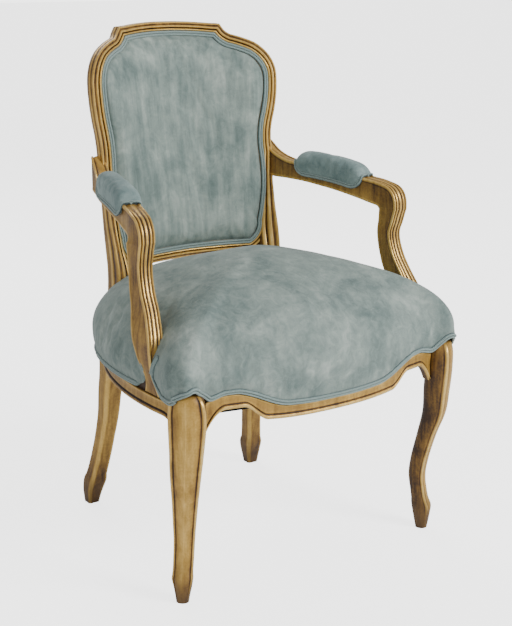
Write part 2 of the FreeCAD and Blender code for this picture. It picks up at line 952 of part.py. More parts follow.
def below_line(points, floor=0):
    return points + [(points[-1][0], floor), (points[0][0], floor)]


front_depth = 2 * s.front_reach - s.knee_forward + 8
front_place = lambda x, z: Vector(x, -2 * s.front_reach, z)
side_place = lambda y, z: Vector(s.rear_corner - 20, y, z)


def under_front(offset):
    """Everything in front that lies below the gimp's line, moved up by an offset."""
    line = offset_line(front_gimp_line(), offset)
    return prism(below_line(line), front_place, Vector(0, front_depth, 0))


def under_side(offset):
    """Everything on the left that lies below the gimp's line, moved up by an offset."""
    line = offset_line(side_gimp_line(), offset)
    return prism(below_line(line), side_place, Vector(200, 0, 0))


def front_band():
    line = front_gimp_line()
    points = offset_line(line, s.welt) + offset_line(line, -s.welt)[::-1]
    return prism(points, front_place, Vector(0, front_depth, 0))


def side_band():
    line = side_gimp_line()
    points = offset_line(line, s.welt) + offset_line(line, -s.welt)[::-1]
    behind_knee = block(
        0, 2 * s.side_start, 8.2 - s.knee_forward, 2 * s.rear_edge, 0, s.knee_height + 62
    )
    return prism(points, side_place, Vector(200, 0, 0)).common(behind_knee)


# Stuffing and cloth follow the same dome over a low mound of springs

def mound(inset):
    """The cloth over the springs: a low mound on the rails."""
    top = s.mound_height - inset
    base = s.rail_top + s.soft_gap - inset
    return loft([
        seat_wire(base, 0.9 - 0.004 * inset, 0, 0),
        seat_wire(blend(base, top, 0.55), 0.85 - 0.004 * inset, 0, 0),
        seat_wire(blend(base, top, 0.86), 0.76 - 0.004 * inset, 0, 0),
        seat_wire(top, 0.62, 0, 0),
    ])


def spring(x, y):
    """A double-cone coil, lofted through its wire's sections."""
    base = s.rail_under + s.spring_wire / 2 + s.soft_gap
    top = s.spring_top - s.spring_wire / 2
    steps = int(10 * s.spring_turns)

    def at(share):
        angle = 2 * math.pi * s.spring_turns * share
        radius = blend(s.spring_waist, s.spring_end, (2 * share - 1) ** 2)
        flat = 0.8 / s.spring_turns
        height = blend(base, top, min(1, max(0, (share - flat) / (1 - 2 * flat))))
        return Vector(x + radius * math.cos(angle), y + radius * math.sin(angle), height)

    sections = []
    radius = s.spring_wire / 2
    for step in range(steps + 1):
        share = step / steps
        direction = (at(share + 0.001) - at(share - 0.001)).normalize()
        across = direction.cross(UP).normalize()
        upward = across.cross(direction).normalize()
        place = lambda u, v: at(share) + across * u + upward * v
        sections.append(ring(place, [((0, radius), (-radius, 0)), ((0, -radius), (radius, 0))]))
    return loft(sections)


def rail_outline(inset, low, high):
    """A flat prism with the seat frame's plan, drawn in from its outer faces."""
    wire = seat_wire(low, 1, 0, inset)
    return Part.Face(wire).extrude(Vector(0, 0, high - low))


# Back upholstery: slabs between offsets of the bow, cut to the frame's inner edge

SLAB_LEVELS = (0.0, 0.12, 0.3, 0.55, 0.78, 0.92, 1.0)
CROWN_SHARE = (0.15, 0.6, 0.95, 1.0, 0.9, 0.55, 0.2)


def slab(front_offset, back_offset, crown=0):
    """A slab that follows the bow, its front bulging by the crown in the middle."""
    half = s.bow_half + 30
    low = s.base_height - 40
    high = s.crest_height + 40
    wires = []
    for share, rise in zip(SLAB_LEVELS, CROWN_SHARE):
        z = blend(low, high, share)
        front_side = bow_y(half, z) + front_offset
        front_mid = bow_y(0, z) + front_offset - crown * rise
        back_side = bow_y(half, z) + back_offset
        back_mid = bow_y(0, z) + back_offset
        front = Part.BezierCurve()
        front.setPoles([
            Vector(-half, front_side, z), Vector(0, 2 * front_mid - front_side, z), Vector(half, front_side, z)
        ])
        back = Part.BezierCurve()
        back.setPoles([
            Vector(half, back_side, z), Vector(0, 2 * back_mid - back_side, z), Vector(-half, back_side, z)
        ])
        right = Part.LineSegment(Vector(half, front_side, z), Vector(half, back_side, z))
        left = Part.LineSegment(Vector(-half, back_side, z), Vector(-half, front_side, z))
        wires.append(Part.Wire([front.toShape(), right.toShape(), back.toShape(), left.toShape()]))
    return loft(wires)


def back_prism(offset):
    """A straight prism through the back, its outline set off from the frame's inner edge."""
    right = []
    for run in stations_by_run:
        for (x, z), (normal_x, normal_z), stretch in run[1:]:
            right.append((x + normal_x * offset * stretch, z + normal_z * offset * stretch))
    top = (0, s.crest_height + offset)
    left = [(-x, z) for x, z in right[-2::-1]]
    return prism([top] + right + left, lambda x, z: Vector(x, 0, z), Vector(0, 3 * s.rear_edge, 0))


# Layers of the back on the frame's ledge

webbing_front = s.ledge_sink - s.soft_gap - s.cloth
hessian_back = webbing_front - s.glue_gap
hessian_front = hessian_back - s.cloth
fill_back = hessian_front - s.glue_gap
welt_centre = -s.welt - 2 * s.glue_gap


def welt_path(width, height):
    """A double welt: two round cords side by side on a flat base."""
    quarter = width / 4
    return [
        ((-quarter, -height), (0, -0.45 * height)),
        ((quarter, -height), (2 * quarter, 0)),
        ((-2 * quarter, 0),),
    ]


def welt_wire(station, y_of, height):
    """A double welt beside the frame's inner edge, standing on the surface given by y_of."""
    (x, z), (normal_x, normal_z), stretch = station

    def place(u, rise):
        across = (welt_centre + u) * stretch
        edge_x = x + normal_x * across
        edge_z = z + normal_z * across
        return Vector(edge_x, y_of(bow_y(edge_x, edge_z), rise), edge_z)

    return ring(place, welt_path(2 * s.welt, height))


def back_gimp_wire(station):
    return welt_wire(station, lambda surface, rise: surface + fill_back + rise, s.welt)


def rear_gimp_wire(station):
    base = s.frame_depth + s.cloth + 2 * s.soft_gap
    return welt_wire(station, lambda surface, rise: surface + base - rise, 0.8 * s.welt)


def ring_loft(wire_of):
    runs = len(stations_by_run)
    arch = run_loft(wire_of, 0, 1)
    rest = run_loft(wire_of, 1, runs)
    half = fused(arch, rest)
    return fused(half, mirrored(half))


# Arm pads sit on the arms between their two ends

def pad_rows(side, over, under):
    """Stations of the pad: centre, across, half width, low and high edges."""
    rows = []
    swells = ((0, 0.35), (0.05, 0.72), (0.16, 0.94), (0.35, 1), (0.65, 1), (0.84, 0.94), (0.95, 0.72), (1, 0.35))
    for share, swell in swells:
        forward = blend(-s.pad_rear, s.pad_front, share)
        for first, second in zip(arm_rows, arm_rows[1:]):
            if first[1] <= forward <= second[1]:
                part_way = (forward - first[1]) / (second[1] - first[1])
                x, ahead, top, _, width = [blend(a, b, part_way) for a, b in zip(first, second)]
                along = Vector(second[0] - first[0], first[1] - second[1], 0).normalize()
        across = Vector(-along.y, along.x, 0)
        centre = Vector(x, -ahead - side * (2 * share - 1), 0)
        half = (width / 2 + 3) * (0.6 + 0.4 * swell) + side
        rows.append((centre, across, half, top - under, top + over * swell))
    return rows


def pad_wire(centre, across, half, low, high):
    place = lambda a, z: centre + across * a + UP * z
    rise = high - low
    return ring(place, [
        ((half + 1, low + 0.5 * rise), (0.72 * half, high - 0.13 * rise)),
        ((0, high), (-0.72 * half, high - 0.13 * rise)),
        ((-half - 1, low + 0.5 * rise), (-half, low)),
        ((half, low),),
    ])


def pad_block(side, over, under):
    return loft([pad_wire(*row) for row in pad_rows(side, over, under)])


# Frame pieces

front_leg = fused(front_leg_solid(), front_post_solid())
stile_upper, stile_lower = stile_solid()
back_leg = fused(back_leg_lower(), back_post_solid(), stile_lower, stile_upper)
arm_support = support_solid()
side_rail = largest(side_rail_solid().cut(front_leg).cut(back_leg).cut(arm_support))
front_rail = largest(front_rail_solid().cut(front_leg).cut(mirrored(front_leg)))
side_rail = fused(side_rail, side_rail_front_tenon(0), side_rail_rear_tenon(0))
front_rail = fused(front_rail, front_rail_tenon(0), mirrored(front_rail_tenon(0)))
plain_front_leg = front_leg
plain_back_leg = back_leg
plain_side_rail = side_rail
support_screw_shapes = support_screw_set()
for shape in support_screw_shapes:
    side_rail = side_rail.cut(shape)
    arm_support = arm_support.cut(shape)

gap = s.glue_gap
front_leg = front_leg.cut(front_rail_tenon(gap)).cut(side_rail_front_tenon(gap))
back_leg = back_leg.cut(side_rail_rear_tenon(gap)).cut(rear_rail_tenon(gap)).cut(lower_rail_tenon(gap))
back_leg = fused(back_leg, stile_tenon(0))
crest = crest_rail_solid().cut(stile_tenon(gap)).cut(mirrored(stile_tenon(gap)))
for peg_shape in PEGS:
    front_leg = front_leg.cut(peg_shape)
    back_leg = back_leg.cut(peg_shape)
    side_rail = side_rail.cut(peg_shape)
    front_rail = front_rail.cut(peg_shape).cut(mirrored(peg_shape))


def base_edge(x):
    """Height of the inner outline's lower part at a distance from the middle."""
    points = [station[0] for run in stations_by_run[STILE_RUNS - 1:] for station in run][::-1]
    for (x_low, z_low), (x_high, z_high) in zip(points, points[1:]):
        if x_low <= x <= x_high and x_high > x_low:
            return blend(z_low, z_high, (x - x_low) / (x_high - x_low))
    return points[-1][1]


def lower_back_rail_solid():
    wires = []
    for x in (0, 18, 36, 54, 72, 90, 108, 126, 140, 147, 153, 158, 163, 172):
        z = base_edge(min(x, 163)) + 2 * max(0, x - 163)
        width = z - s.base_height + s.lower_rail_face
        ledge_y = bow_y(x, z + s.ledge)
        near = bow_y(x, z)
        far = bow_y(x, z - width)
        path = frame_path(
            width, near, far, far + s.frame_depth, ledge_y + s.ledge_sink, ledge_y + s.frame_depth, s.ledge
        )
        wires.append(ring(lambda u, y: Vector(x, y, z - u), path))
    half = loft(wires)
    whole = fused(half, mirrored(half)).cut(back_leg).cut(mirrored(back_leg))
    return largest(whole)


lower_rail = fused(lower_back_rail_solid(), lower_rail_tenon(0), mirrored(lower_rail_tenon(0)))
beside_stile = block(
    0, s.waist_half + s.stile_face + 1.8, s.post_front + 5, 2 * s.rear_edge, 0, s.crest_height
)
arm = arm_solid().cut(beside_stile)

# Corner blocks and their screws

FRONT_BLOCK = (
    (front_half - 68, side_front - 44), (front_half + 34, side_front - 44),
    (front_half + 34, side_front + 60), (front_half + 8, side_front + 60),
    (front_half - 68, side_front - 4),
)
REAR_BLOCK = (
    (s.post_inner - 52, s.rear_edge - 12), (s.post_inner - 52, s.post_front - 4),
    (s.post_outer - 16, s.post_front - 86), (s.post_outer + 50, s.post_front - 86),
    (s.post_outer + 50, s.rear_edge - 12),
)
block_low = tenon_low
block_high = tenon_low + s.block_height


def block_prism(points):
    wire = ring(lambda x, y: Vector(x, y, block_low), [(point,) for point in points])
    return Part.Face(wire).extrude(Vector(0, 0, block_high - block_low))


rear_rail_low = s.rail_under
rear_rail_block = block(
    -s.post_inner, s.post_inner, rear_rail_y - s.rear_rail_thickness / 2,
    rear_rail_y + s.rear_rail_thickness / 2, rear_rail_low, s.rail_top,
)
block_screw_z = (block_low + block_high) / 2
front_block_screws = [
    screw(34, Vector(front_half - 44, side_front + 6, block_screw_z), Vector(0.05, -1, 0).normalize()),
    screw(34, Vector(front_half - 1, side_front + 42, block_screw_z), Vector(1, 0.05, 0).normalize()),
]
rear_block_screws = [
    screw(36, Vector(s.post_inner - 28, s.post_front - 21, block_screw_z), Vector(-0.1, 1, 0).normalize()),
    screw(36, Vector(s.post_outer - 30, s.post_front - 61, block_screw_z), Vector(1, 0.3, 0).normalize()),
]
front_block = block_prism(FRONT_BLOCK).cut(front_rail).cut(plain_side_rail).cut(plain_front_leg)
rear_block = block_prism(REAR_BLOCK).cut(rear_rail_block).cut(plain_side_rail).cut(plain_back_leg)
for shape in front_block_screws + rear_block_screws:
    front_block = front_block.cut(shape)
    rear_block = rear_block.cut(shape)
    side_rail = side_rail.cut(shape)
    front_rail = front_rail.cut(shape).cut(mirrored(shape))
    back_leg = back_leg.cut(shape)

both_sides("front_leg", front_leg)
both_sides("back_leg", back_leg)
feature("front_seat_rail", front_rail)
both_sides("side_seat_rail", side_rail)
feature("crest_rail", crest)
feature("lower_back_rail", lower_rail)
both_sides("arm", arm)
both_sides("arm_support", arm_support)
both_sides("corner_block_front", largest(front_block))
both_sides("corner_block_rear", largest(rear_block))
for label, screws in (
    ("arm_support_screws", support_screw_shapes),
    ("corner_block_screws", front_block_screws + rear_block_screws),
    ("tenon_pegs", list(PEGS)),
):
    feature(label, Part.makeCompound(screws + [mirrored(shape) for shape in screws]))

# Springs and cloths below the seat

spring_rows = [(i * s.spring_pitch, j * s.spring_pitch - 30) for i in (-1, 0, 1) for j in (-1, 0, 1)]
feature("seat_springs", Part.makeCompound([spring(x, y) for x, y in spring_rows]))
legs = (front_leg, back_leg, mirrored(front_leg), mirrored(back_leg))
strap_top = s.rail_under - s.glue_gap
cross_top = strap_top - s.cloth - s.glue_gap
dust_top = cross_top - s.cloth - s.glue_gap


def strap_group(label, count, lengthwise, top):
    """Straps side by side, cut to the seat frame's plan."""
    straps = []
    for index in range(count):
        strap = doc.addObject("Part::Box", f"{label}_strap_{index + 1}")
        place = f"{index - (count - 1) / 2} * Sizes.strap_pitch - Sizes.strap_width / 2"
        across, along = ("Length", "Width") if lengthwise else ("Width", "Length")
        strap.setExpression(across, "Sizes.strap_width")
        strap.setExpression(along, "4 * Sizes.front_reach")
        strap.setExpression("Height", "Sizes.cloth")
        spread, reach = ("x", "y") if lengthwise else ("y", "x")
        strap.setExpression(f"Placement.Base.{spread}", place + ("" if lengthwise else " - 28"))
        strap.setExpression(f"Placement.Base.{reach}", "-2 * Sizes.front_reach")
        strap.Placement.Base.z = top - s.cloth
        straps.append(strap)
    group = doc.addObject("Part::Compound", label + "_straps")
    group.Links = straps
    area = doc.addObject("Part::Feature", label + "_area")
    area.Shape = rail_outline(s.rail_board + 9, 0, s.rail_top)
    trimmed = doc.addObject("Part::Common", label)
    trimmed.Base = group
    trimmed.Tool = area
    trimmed.setExpression("Placement.Base.y", "Sizes.origin_shift")
    return keep(trimmed, label)


strap_group("seat_webbing_lengthwise", 5, True, strap_top)
strap_group("seat_webbing_crosswise", 6, False, cross_top)

dust_cover = rail_outline(s.rail_board + 8, dust_top - s.cloth, dust_top)
for leg in legs:
    around = leg.common(block(-s.side_start, s.side_start, -s.side_start, s.side_start, dust_top - 5, dust_top))
    edge = around.BoundBox
    clear = 1.0
    dust_cover = dust_cover.cut(block(
        edge.XMin - clear if edge.XMin > 0 else 2 * edge.XMin,
        edge.XMax + clear if edge.XMax < 0 else 2 * edge.XMax,
        edge.YMin - clear if edge.YMin > 0 else 2 * edge.YMin,
        edge.YMax + clear if edge.YMax < 0 else 2 * edge.YMax,
        0,
        s.rail_top,
    ))
feature("dust_cover", dust_cover)

hessian = mound(0).cut(mound(s.cloth))
corner_tools = (
    block(s.post_inner - 2, s.side_start, s.post_front - 36, 2 * s.rear_edge, 0, 2 * s.rail_top),
    block(front_half - 1, 2 * s.side_start, -2 * s.front_reach, side_front + 1, 0, s.rail_top + 3),
)
for tool in corner_tools:
    hessian = hessian.cut(tool).cut(mirrored(tool))
feature("spring_hessian", largest(hessian))

# Seat stuffing, cover and gimp

gap = s.soft_gap
wide_support = support_solid(gap)
stile_block = block(
    s.post_inner - 1.5, s.rear_corner + 40, s.post_front - 9, 2 * s.rear_edge, 0, 2 * s.rail_top
)
hole_tools = [wide_support, mirrored(wide_support), stile_block, mirrored(stile_block)]
for shift in (Vector(0, 0, 0), Vector(-gap, 0, 0), Vector(0, -gap, 0)):
    moved = back_leg.translated(shift)
    hole_tools += [moved, mirrored(moved)]
raised_leg = front_leg.translated(Vector(0, 0, gap))
hole_tools += [raised_leg, mirrored(raised_leg)]
skirts = [under_front(0), under_side(0), mirrored(under_side(0))]

outer = dome(0)
cover = outer.cut(dome(s.cover_thickness))
for tool in skirts + hole_tools:
    cover = cover.cut(tool)
cover = largest(cover)
feature("seat_cover", cover)

stuffing = dome(s.cover_thickness + gap)
for tool in [under_front(gap), under_side(gap), mirrored(under_side(gap))] + hole_tools:
    stuffing = stuffing.cut(tool)
blocks = [largest(front_block), largest(rear_block)]
for tool in [side_rail] + blocks:
    stuffing = stuffing.cut(tool).cut(mirrored(tool))
stuffing = stuffing.cut(front_rail).cut(rear_rail_block)
well = mound(-gap).fuse(rail_outline(s.rail_board + 2, 0, s.rail_top + 2 * gap))
stuffing = largest(stuffing.cut(well))
feature("seat_stuffing", stuffing)

trim = dome(-0.9 * s.welt).cut(dome(-gap))
trims = [trim.common(front_band())]
left_trim = trim.common(side_band()).cut(wide_support).cut(stile_block)
trims[0] = trims[0].cut(raised_leg).cut(mirrored(raised_leg))
left_trim = left_trim.cut(raised_leg)
trims += [left_trim, mirrored(left_trim)]
feature("seat_gimp", Part.makeCompound(trims))

# Back upholstery

def framed(shape):
    """A layer of the back, cut clear of the wooden frame around it."""
    for tool in (back_leg, mirrored(back_leg), crest, lower_rail):
        shape = shape.cut(tool)
    return shape


straps = slab(webbing_front, webbing_front + s.cloth).common(back_prism(-1.5))
back_straps = []
for index in (-2, -1, 0, 1, 2):
    x = index * (s.strap_pitch + 4)
    back_straps.append(straps.common(block(
        x - s.strap_width / 2, x + s.strap_width / 2, 0, 3 * s.rear_edge, 0, 2 * s.crest_height
    )))
feature("back_webbing", framed(Part.makeCompound(back_straps)))
feature("back_hessian", largest(framed(slab(hessian_front, hessian_back).common(back_prism(-1.5)))))
edge = welt_centre - s.welt - gap
wall = s.pad_cover
back_fill = slab(wall + gap - s.pad_cover, fill_back, s.back_crown)
feature("back_stuffing", back_fill.common(back_prism(edge - wall - gap)))
back_shell = slab(-s.pad_cover, fill_back, s.back_crown).common(back_prism(edge))
back_hollow = slab(wall - s.pad_cover, fill_back + 1, s.back_crown).common(back_prism(edge - wall))
back_trim = largest(framed(ring_loft(back_gimp_wire)))
feature("back_cover", largest(back_shell.cut(back_hollow).cut(back_trim)))
feature("back_gimp", back_trim)
outside_front = s.frame_depth + s.soft_gap
outside_cloth = slab(outside_front, outside_front + s.cloth).common(back_prism(-1.5))
feature("outside_back_cover", largest(framed(outside_cloth)))
feature("outside_back_gimp", ring_loft(rear_gimp_wire))

# Arm pads

lifted_arm = arm.translated(Vector(0, 0, gap))
pad_outer = pad_block(0, s.pad_rise, 4).cut(lifted_arm)
pad_inner = pad_block(-s.pad_cover - gap, s.pad_rise - s.pad_cover - gap, 4).cut(lifted_arm)
pad_hollow = pad_block(-s.pad_cover, s.pad_rise - s.pad_cover, 4)
pad_band = pad_block(s.welt, s.welt, 4).cut(pad_block(gap, s.pad_rise + gap, 4)).cut(lifted_arm)
both_sides("arm_pad", largest(pad_inner))
both_sides("arm_pad_cover", largest(pad_outer.cut(pad_hollow)))
both_sides("arm_pad_gimp", largest(pad_band))

# Rear seat rail: a board with a tenon through each end

def centred_pad(body, sketch_name, length, width, height, base=None):
    """A rectangle on the body's ground plane, padded to a height."""
    sketch = body.newObject("Sketcher::SketchObject", sketch_name)
    ground = next(item for item in body.Origin.OriginFeatures if item.Role == "XY_Plane")
    sketch.AttachmentSupport = [(ground, "")]
    sketch.MapMode = "FlatFace"
    if base:
        sketch.setExpression("AttachmentOffset.Base.z", base)
    corners = [(-5, -5), (5, -5), (5, 5), (-5, 5)]
    for start, end in zip(corners, corners[1:] + corners[:1]):
        sketch.addGeometry(Part.LineSegment(Vector(*start, 0), Vector(*end, 0)))
    for index in range(4):
        sketch.addConstraint(Sketcher.Constraint("Coincident", index, 2, (index + 1) % 4, 1))
    for index, kind in enumerate(("Horizontal", "Vertical", "Horizontal", "Vertical")):
        sketch.addConstraint(Sketcher.Constraint(kind, index))
    sketch.addConstraint(Sketcher.Constraint("Symmetric", 0, 1, 1, 2, -1, 1))
    along = sketch.addConstraint(Sketcher.Constraint("DistanceX", 0, 1, 0, 2, 10))
    across = sketch.addConstraint(Sketcher.Constraint("DistanceY", 1, 1, 1, 2, 10))
    sketch.setExpression(f"Constraints[{along}]", length)
    sketch.setExpression(f"Constraints[{across}]", width)
    pad = body.newObject("PartDesign::Pad", sketch_name + "_pad")
    pad.Profile = sketch
    pad.setExpression("Length", height)
    sketch.Visibility = False
    return pad


rear_rail = doc.addObject("PartDesign::Body", "rear_seat_rail")
centred_pad(
    rear_rail, "board", "2 * Sizes.post_inner", "Sizes.rear_rail_thickness",
    "Sizes.rail_top - Sizes.rail_under",
)
centred_pad(
    rear_rail, "tenons", "2 * (Sizes.post_inner + Sizes.tenon_length - 8)", "Sizes.tenon_thickness",
    "Sizes.tenon_height", "5",
)
rear_rail.setExpression(
    "Placement.Base.y", "Sizes.rear_edge - 6 - Sizes.rear_rail_thickness / 2 + Sizes.origin_shift"
)
rear_rail.setExpression("Placement.Base.z", "Sizes.rail_under")
keep(rear_rail, "rear_seat_rail")

doc.recompute()
for item in parts:
    shape = item.Shape
    if {"Invalid", "Error"} & set(item.State) or shape.isNull() or not shape.isValid():
        raise RuntimeError(f"{item.Label} has no valid shape")
    print(item.Label, round(shape.Volume / 1000, 1), "cm3 in", len(shape.Solids), "solids")

os.makedirs("parts", exist_ok=True)
for item in parts:
    item.Shape.exportStep(f"parts/{item.Label}.step")
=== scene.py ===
"""The looks of an open-arm upholstered chair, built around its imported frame.

Sizes are in millimetres in the frame's axes and become metres when a mesh is made.
"""

import json
import math

import bmesh
import bpy
from bpy.props import FloatProperty, IntProperty
from bpy.types import Operator, Panel, PropertyGroup
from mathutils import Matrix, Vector, noise
from mathutils.bvhtree import BVHTree


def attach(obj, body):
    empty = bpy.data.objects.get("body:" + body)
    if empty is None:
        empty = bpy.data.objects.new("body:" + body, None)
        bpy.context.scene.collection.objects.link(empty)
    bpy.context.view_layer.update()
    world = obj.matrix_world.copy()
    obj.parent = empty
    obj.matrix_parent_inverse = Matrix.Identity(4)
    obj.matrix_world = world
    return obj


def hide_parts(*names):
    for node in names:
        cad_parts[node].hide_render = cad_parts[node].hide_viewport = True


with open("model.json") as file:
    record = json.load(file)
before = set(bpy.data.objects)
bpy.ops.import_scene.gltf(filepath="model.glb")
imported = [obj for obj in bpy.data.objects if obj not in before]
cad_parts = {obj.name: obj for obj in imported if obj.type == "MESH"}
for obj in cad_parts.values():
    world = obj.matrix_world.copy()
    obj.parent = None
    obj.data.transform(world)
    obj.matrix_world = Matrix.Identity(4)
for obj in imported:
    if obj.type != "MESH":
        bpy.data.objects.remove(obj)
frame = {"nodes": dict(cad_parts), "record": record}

bl_info = {
    "name": "Fauteuil",
    "version": (1, 0, 0),
    "blender": (4, 5, 0),
    "location": "View3D > Sidebar > Fauteuil",
    "description": "Builds a gilded open-arm chair with velvet upholstery",
    "category": "Object",
}

SHIFT = -1.9  # of the frame's axes along Y
RAIL_TOP = 398.0
SEAT_CENTRE = (0.0, -40.0)
TINY = 1e-6
SIDES = (("left", False), ("right", True))
UNBROKEN = 180
WELT_CREASE = 60


class FauteuilSettings(PropertyGroup):
    """Choices that the operators read."""

    wear: FloatProperty(name="Wear", description="How much the gilding is worn", default=0.5, min=0, max=1)
    cover_pressure: FloatProperty(
        name="Cover pressure", description="Pressure under the cloth while it settles", default=2.5, min=0
    )
    frames: IntProperty(name="Settling frames", description="Steps of the simulation", default=20, min=1)
    settle_limit: FloatProperty(
        name="Settling limit", description="Furthest that a point of cloth moves", default=0.005, unit="LENGTH"
    )


# Numbers and curves

def mix(low, high, share):
    return low + (high - low) * share


def ease(share):
    share = min(1.0, max(0.0, share))
    return share * share * (3 - 2 * share)


def metres(point):
    return Vector((point[0], point[1] + SHIFT, point[2])) / 1000


def through(rows, steps):
    """Rows of numbers on a smooth curve through the given rows, with steps between each pair."""
    result = []
    last = len(rows) - 1
    for index in range(last):
        a = rows[max(index - 1, 0)]
        b = rows[index]
        c = rows[index + 1]
        d = rows[min(index + 2, last)]
        for step in range(steps):
            t = step / steps
            row = []
            for p, q, r, w in zip(a, b, c, d):
                slope_in = (r - p) / 2
                slope_out = (w - q) / 2
                row.append(
                    (2 * t**3 - 3 * t**2 + 1) * q + (t**3 - 2 * t**2 + t) * slope_in
                    + (3 * t**2 - 2 * t**3) * r + (t**3 - t**2) * slope_out
                )
            result.append(row)
    result.append(list(rows[last]))
    return result


def spaced(points, gap):
    """The points of a polyline at about even distances."""
    lengths = [0.0]
    for a, b in zip(points, points[1:]):
        lengths.append(lengths[-1] + math.dist(a, b))
    count = max(2, round(lengths[-1] / gap))
    result = []
    index = 0
    for step in range(count + 1):
        target = lengths[-1] * step / count
        while index < len(points) - 2 and lengths[index + 1] < target:
            index += 1
        span = lengths[index + 1] - lengths[index] or 1
        share = (target - lengths[index]) / span
        result.append([mix(a, b, share) for a, b in zip(points[index], points[index + 1])])
    return result


def mirror_x(sections):
    """Sections of the other side, turned so that their faces still look outwards."""
    return [[(-x, y, z, *rest) for x, y, z, *rest in section[::-1]] for section in sections]


# Meshes

class Piece:
    """A mesh under way, with the vertex and face values that its finish reads."""

    def __init__(self, name):
        self.name = name
        self.mesh = bmesh.new()
        # Relief: +1 on ridges, -1 in hollows. The gilding and welt colours read it as painted highlight on
        # ridges and painted shade in hollows, with brown patina in the gilding's hollows.
        self.relief = self.mesh.verts.layers.float.new("relief")
        self.track = self.mesh.loops.layers.uv.new("track")

    def sweep(self, sections, loop=False):
        """Extrudes a ring of points from section to section. A point is x, y, z and its relief."""
        mesh = self.mesh
        ring = [mesh.verts.new(metres(point)) for point in sections[0]]
        for vert, point in zip(ring, sections[0]):
            vert[self.relief] = point[3]
        first = ring
        count = len(ring)
        edges = [mesh.edges.new((ring[i], ring[(i + 1) % count])) for i in range(count)]
        start_edges = edges
        along = 0.0
        for before, section in zip(sections, sections[1:]):
            step = math.dist(before[0][:3], section[0][:3]) / 1000
            grown = bmesh.ops.extrude_edge_only(mesh, edges=edges)["geom"]
            made = {item for item in grown if isinstance(item, bmesh.types.BMVert)}
            faces = [item for item in grown if isinstance(item, bmesh.types.BMFace)]
            following = []
            for vert in ring:
                ends = (edge.other_vert(vert) for edge in vert.link_edges)
                following.append(next(end for end in ends if end in made))
            for vert, point in zip(following, section):
                vert.co = metres(point)
                vert[self.relief] = point[3]
            spots = {vert: (along, index) for index, vert in enumerate(ring)}
            spots.update({vert: (along + step, index) for index, vert in enumerate(following)})
            for face in faces:
                ranks = [spots[corner.vert][1] for corner in face.loops]
                wraps = max(ranks) - min(ranks) > 1
                for corner, rank in zip(face.loops, ranks):
                    around = rank + count if wraps and rank == 0 else rank
                    corner[self.track].uv = (spots[corner.vert][0], around / count)
            ring = following
            edges = [mesh.edges.get((ring[i], ring[(i + 1) % count])) for i in range(count)]
            along += step
        if loop:
            bmesh.ops.bridge_loops(mesh, edges=edges + start_edges)
        else:
            for end in (first, ring):
                bmesh.ops.contextual_create(mesh, geom=end)

    def disc(self, segments, place):
        """A grid bent to a round sheet without a pole. Place gives a point for a reach and a turn of 0 to 1."""
        made = bmesh.ops.create_grid(self.mesh, x_segments=segments, y_segments=segments, size=1.0)["verts"]
        edge = {}
        for vert in made:
            u, v, _ = vert.co
            reach = max(abs(u), abs(v))
            if reach < TINY:
                turn = 0.0
            elif abs(v + reach) < TINY:
                turn = u / reach / 8
            elif abs(u - reach) < TINY:
                turn = 0.25 + v / reach / 8
            elif abs(v - reach) < TINY:
                turn = 0.5 - u / reach / 8
            else:
                turn = 0.75 - v / reach / 8
            vert.co = metres(place(reach, turn % 1.0))
            if reach > 1 - TINY:
                edge[vert] = turn % 1.0
        return edge

    def skirt(self, edge, rows, place):
        """Extrudes the sheet's edge row by row. Place gives a point for a share and a turn."""
        edges = [item for item in self.mesh.edges if item.is_boundary]
        for row in range(1, rows + 1):
            grown = bmesh.ops.extrude_edge_only(self.mesh, edges=edges)["geom"]
            made = {item for item in grown if isinstance(item, bmesh.types.BMVert)}
            edges = [item for item in grown if isinstance(item, bmesh.types.BMEdge) and item.is_boundary]
            following = {}
            for vert, turn in edge.items():
                ends = (link.other_vert(vert) for link in vert.link_edges)
                grown_vert = next(end for end in ends if end in made)
                following[grown_vert] = turn
                grown_vert.co = metres(place(row / rows, turn))
            edge = following

    def done(self, slot, sharp=34, facing=None):
        """The finished object. An open sheet is turned to face the given way."""
        mesh = self.mesh
        bmesh.ops.remove_doubles(mesh, verts=mesh.verts, dist=TINY)
        bmesh.ops.recalc_face_normals(mesh, faces=mesh.faces)
        if facing is not None and sum(face.normal.dot(facing) for face in mesh.faces) < 0:
            bmesh.ops.reverse_faces(mesh, faces=mesh.faces)
        data = bpy.data.meshes.new(self.name)
        mesh.to_mesh(data)
        mesh.free()
        item = bpy.data.objects.new(self.name, data)
        bpy.context.scene.collection.objects.link(item)
        data.polygons.foreach_set("use_smooth", [True] * len(data.polygons))
        data.set_sharp_from_angle(angle=math.radians(sharp))
        data.materials.append(bpy.data.materials[slot])
        return item


def carved(sections, depth=0.22, scale=0.05):
    """Sections with the slight unevenness of hand carving."""
    result = []
    for section in sections:
        uneven = []
        for x, y, z, relief in section:
            spot = Vector((x, y, z)) * scale
            push = noise.noise_vector(spot) * depth
            uneven.append((x + push.x, y + push.y, z + push.z, relief))
        result.append(uneven)
    return result


# Materials

FLOOR_GLOW = 2.6


def new_material(name):
    """An emptied material of that name with its tree and its one shader."""
    material = bpy.data.materials.get(name) or bpy.data.materials.new(name)
    material.use_nodes = True
    tree = material.node_tree
    tree.nodes.clear()
    output = tree.nodes.new("ShaderNodeOutputMaterial")
    shader = tree.nodes.new("ShaderNodeBsdfPrincipled")
    tree.links.new(shader.outputs["BSDF"], output.inputs["Surface"])
    return material, tree, shader


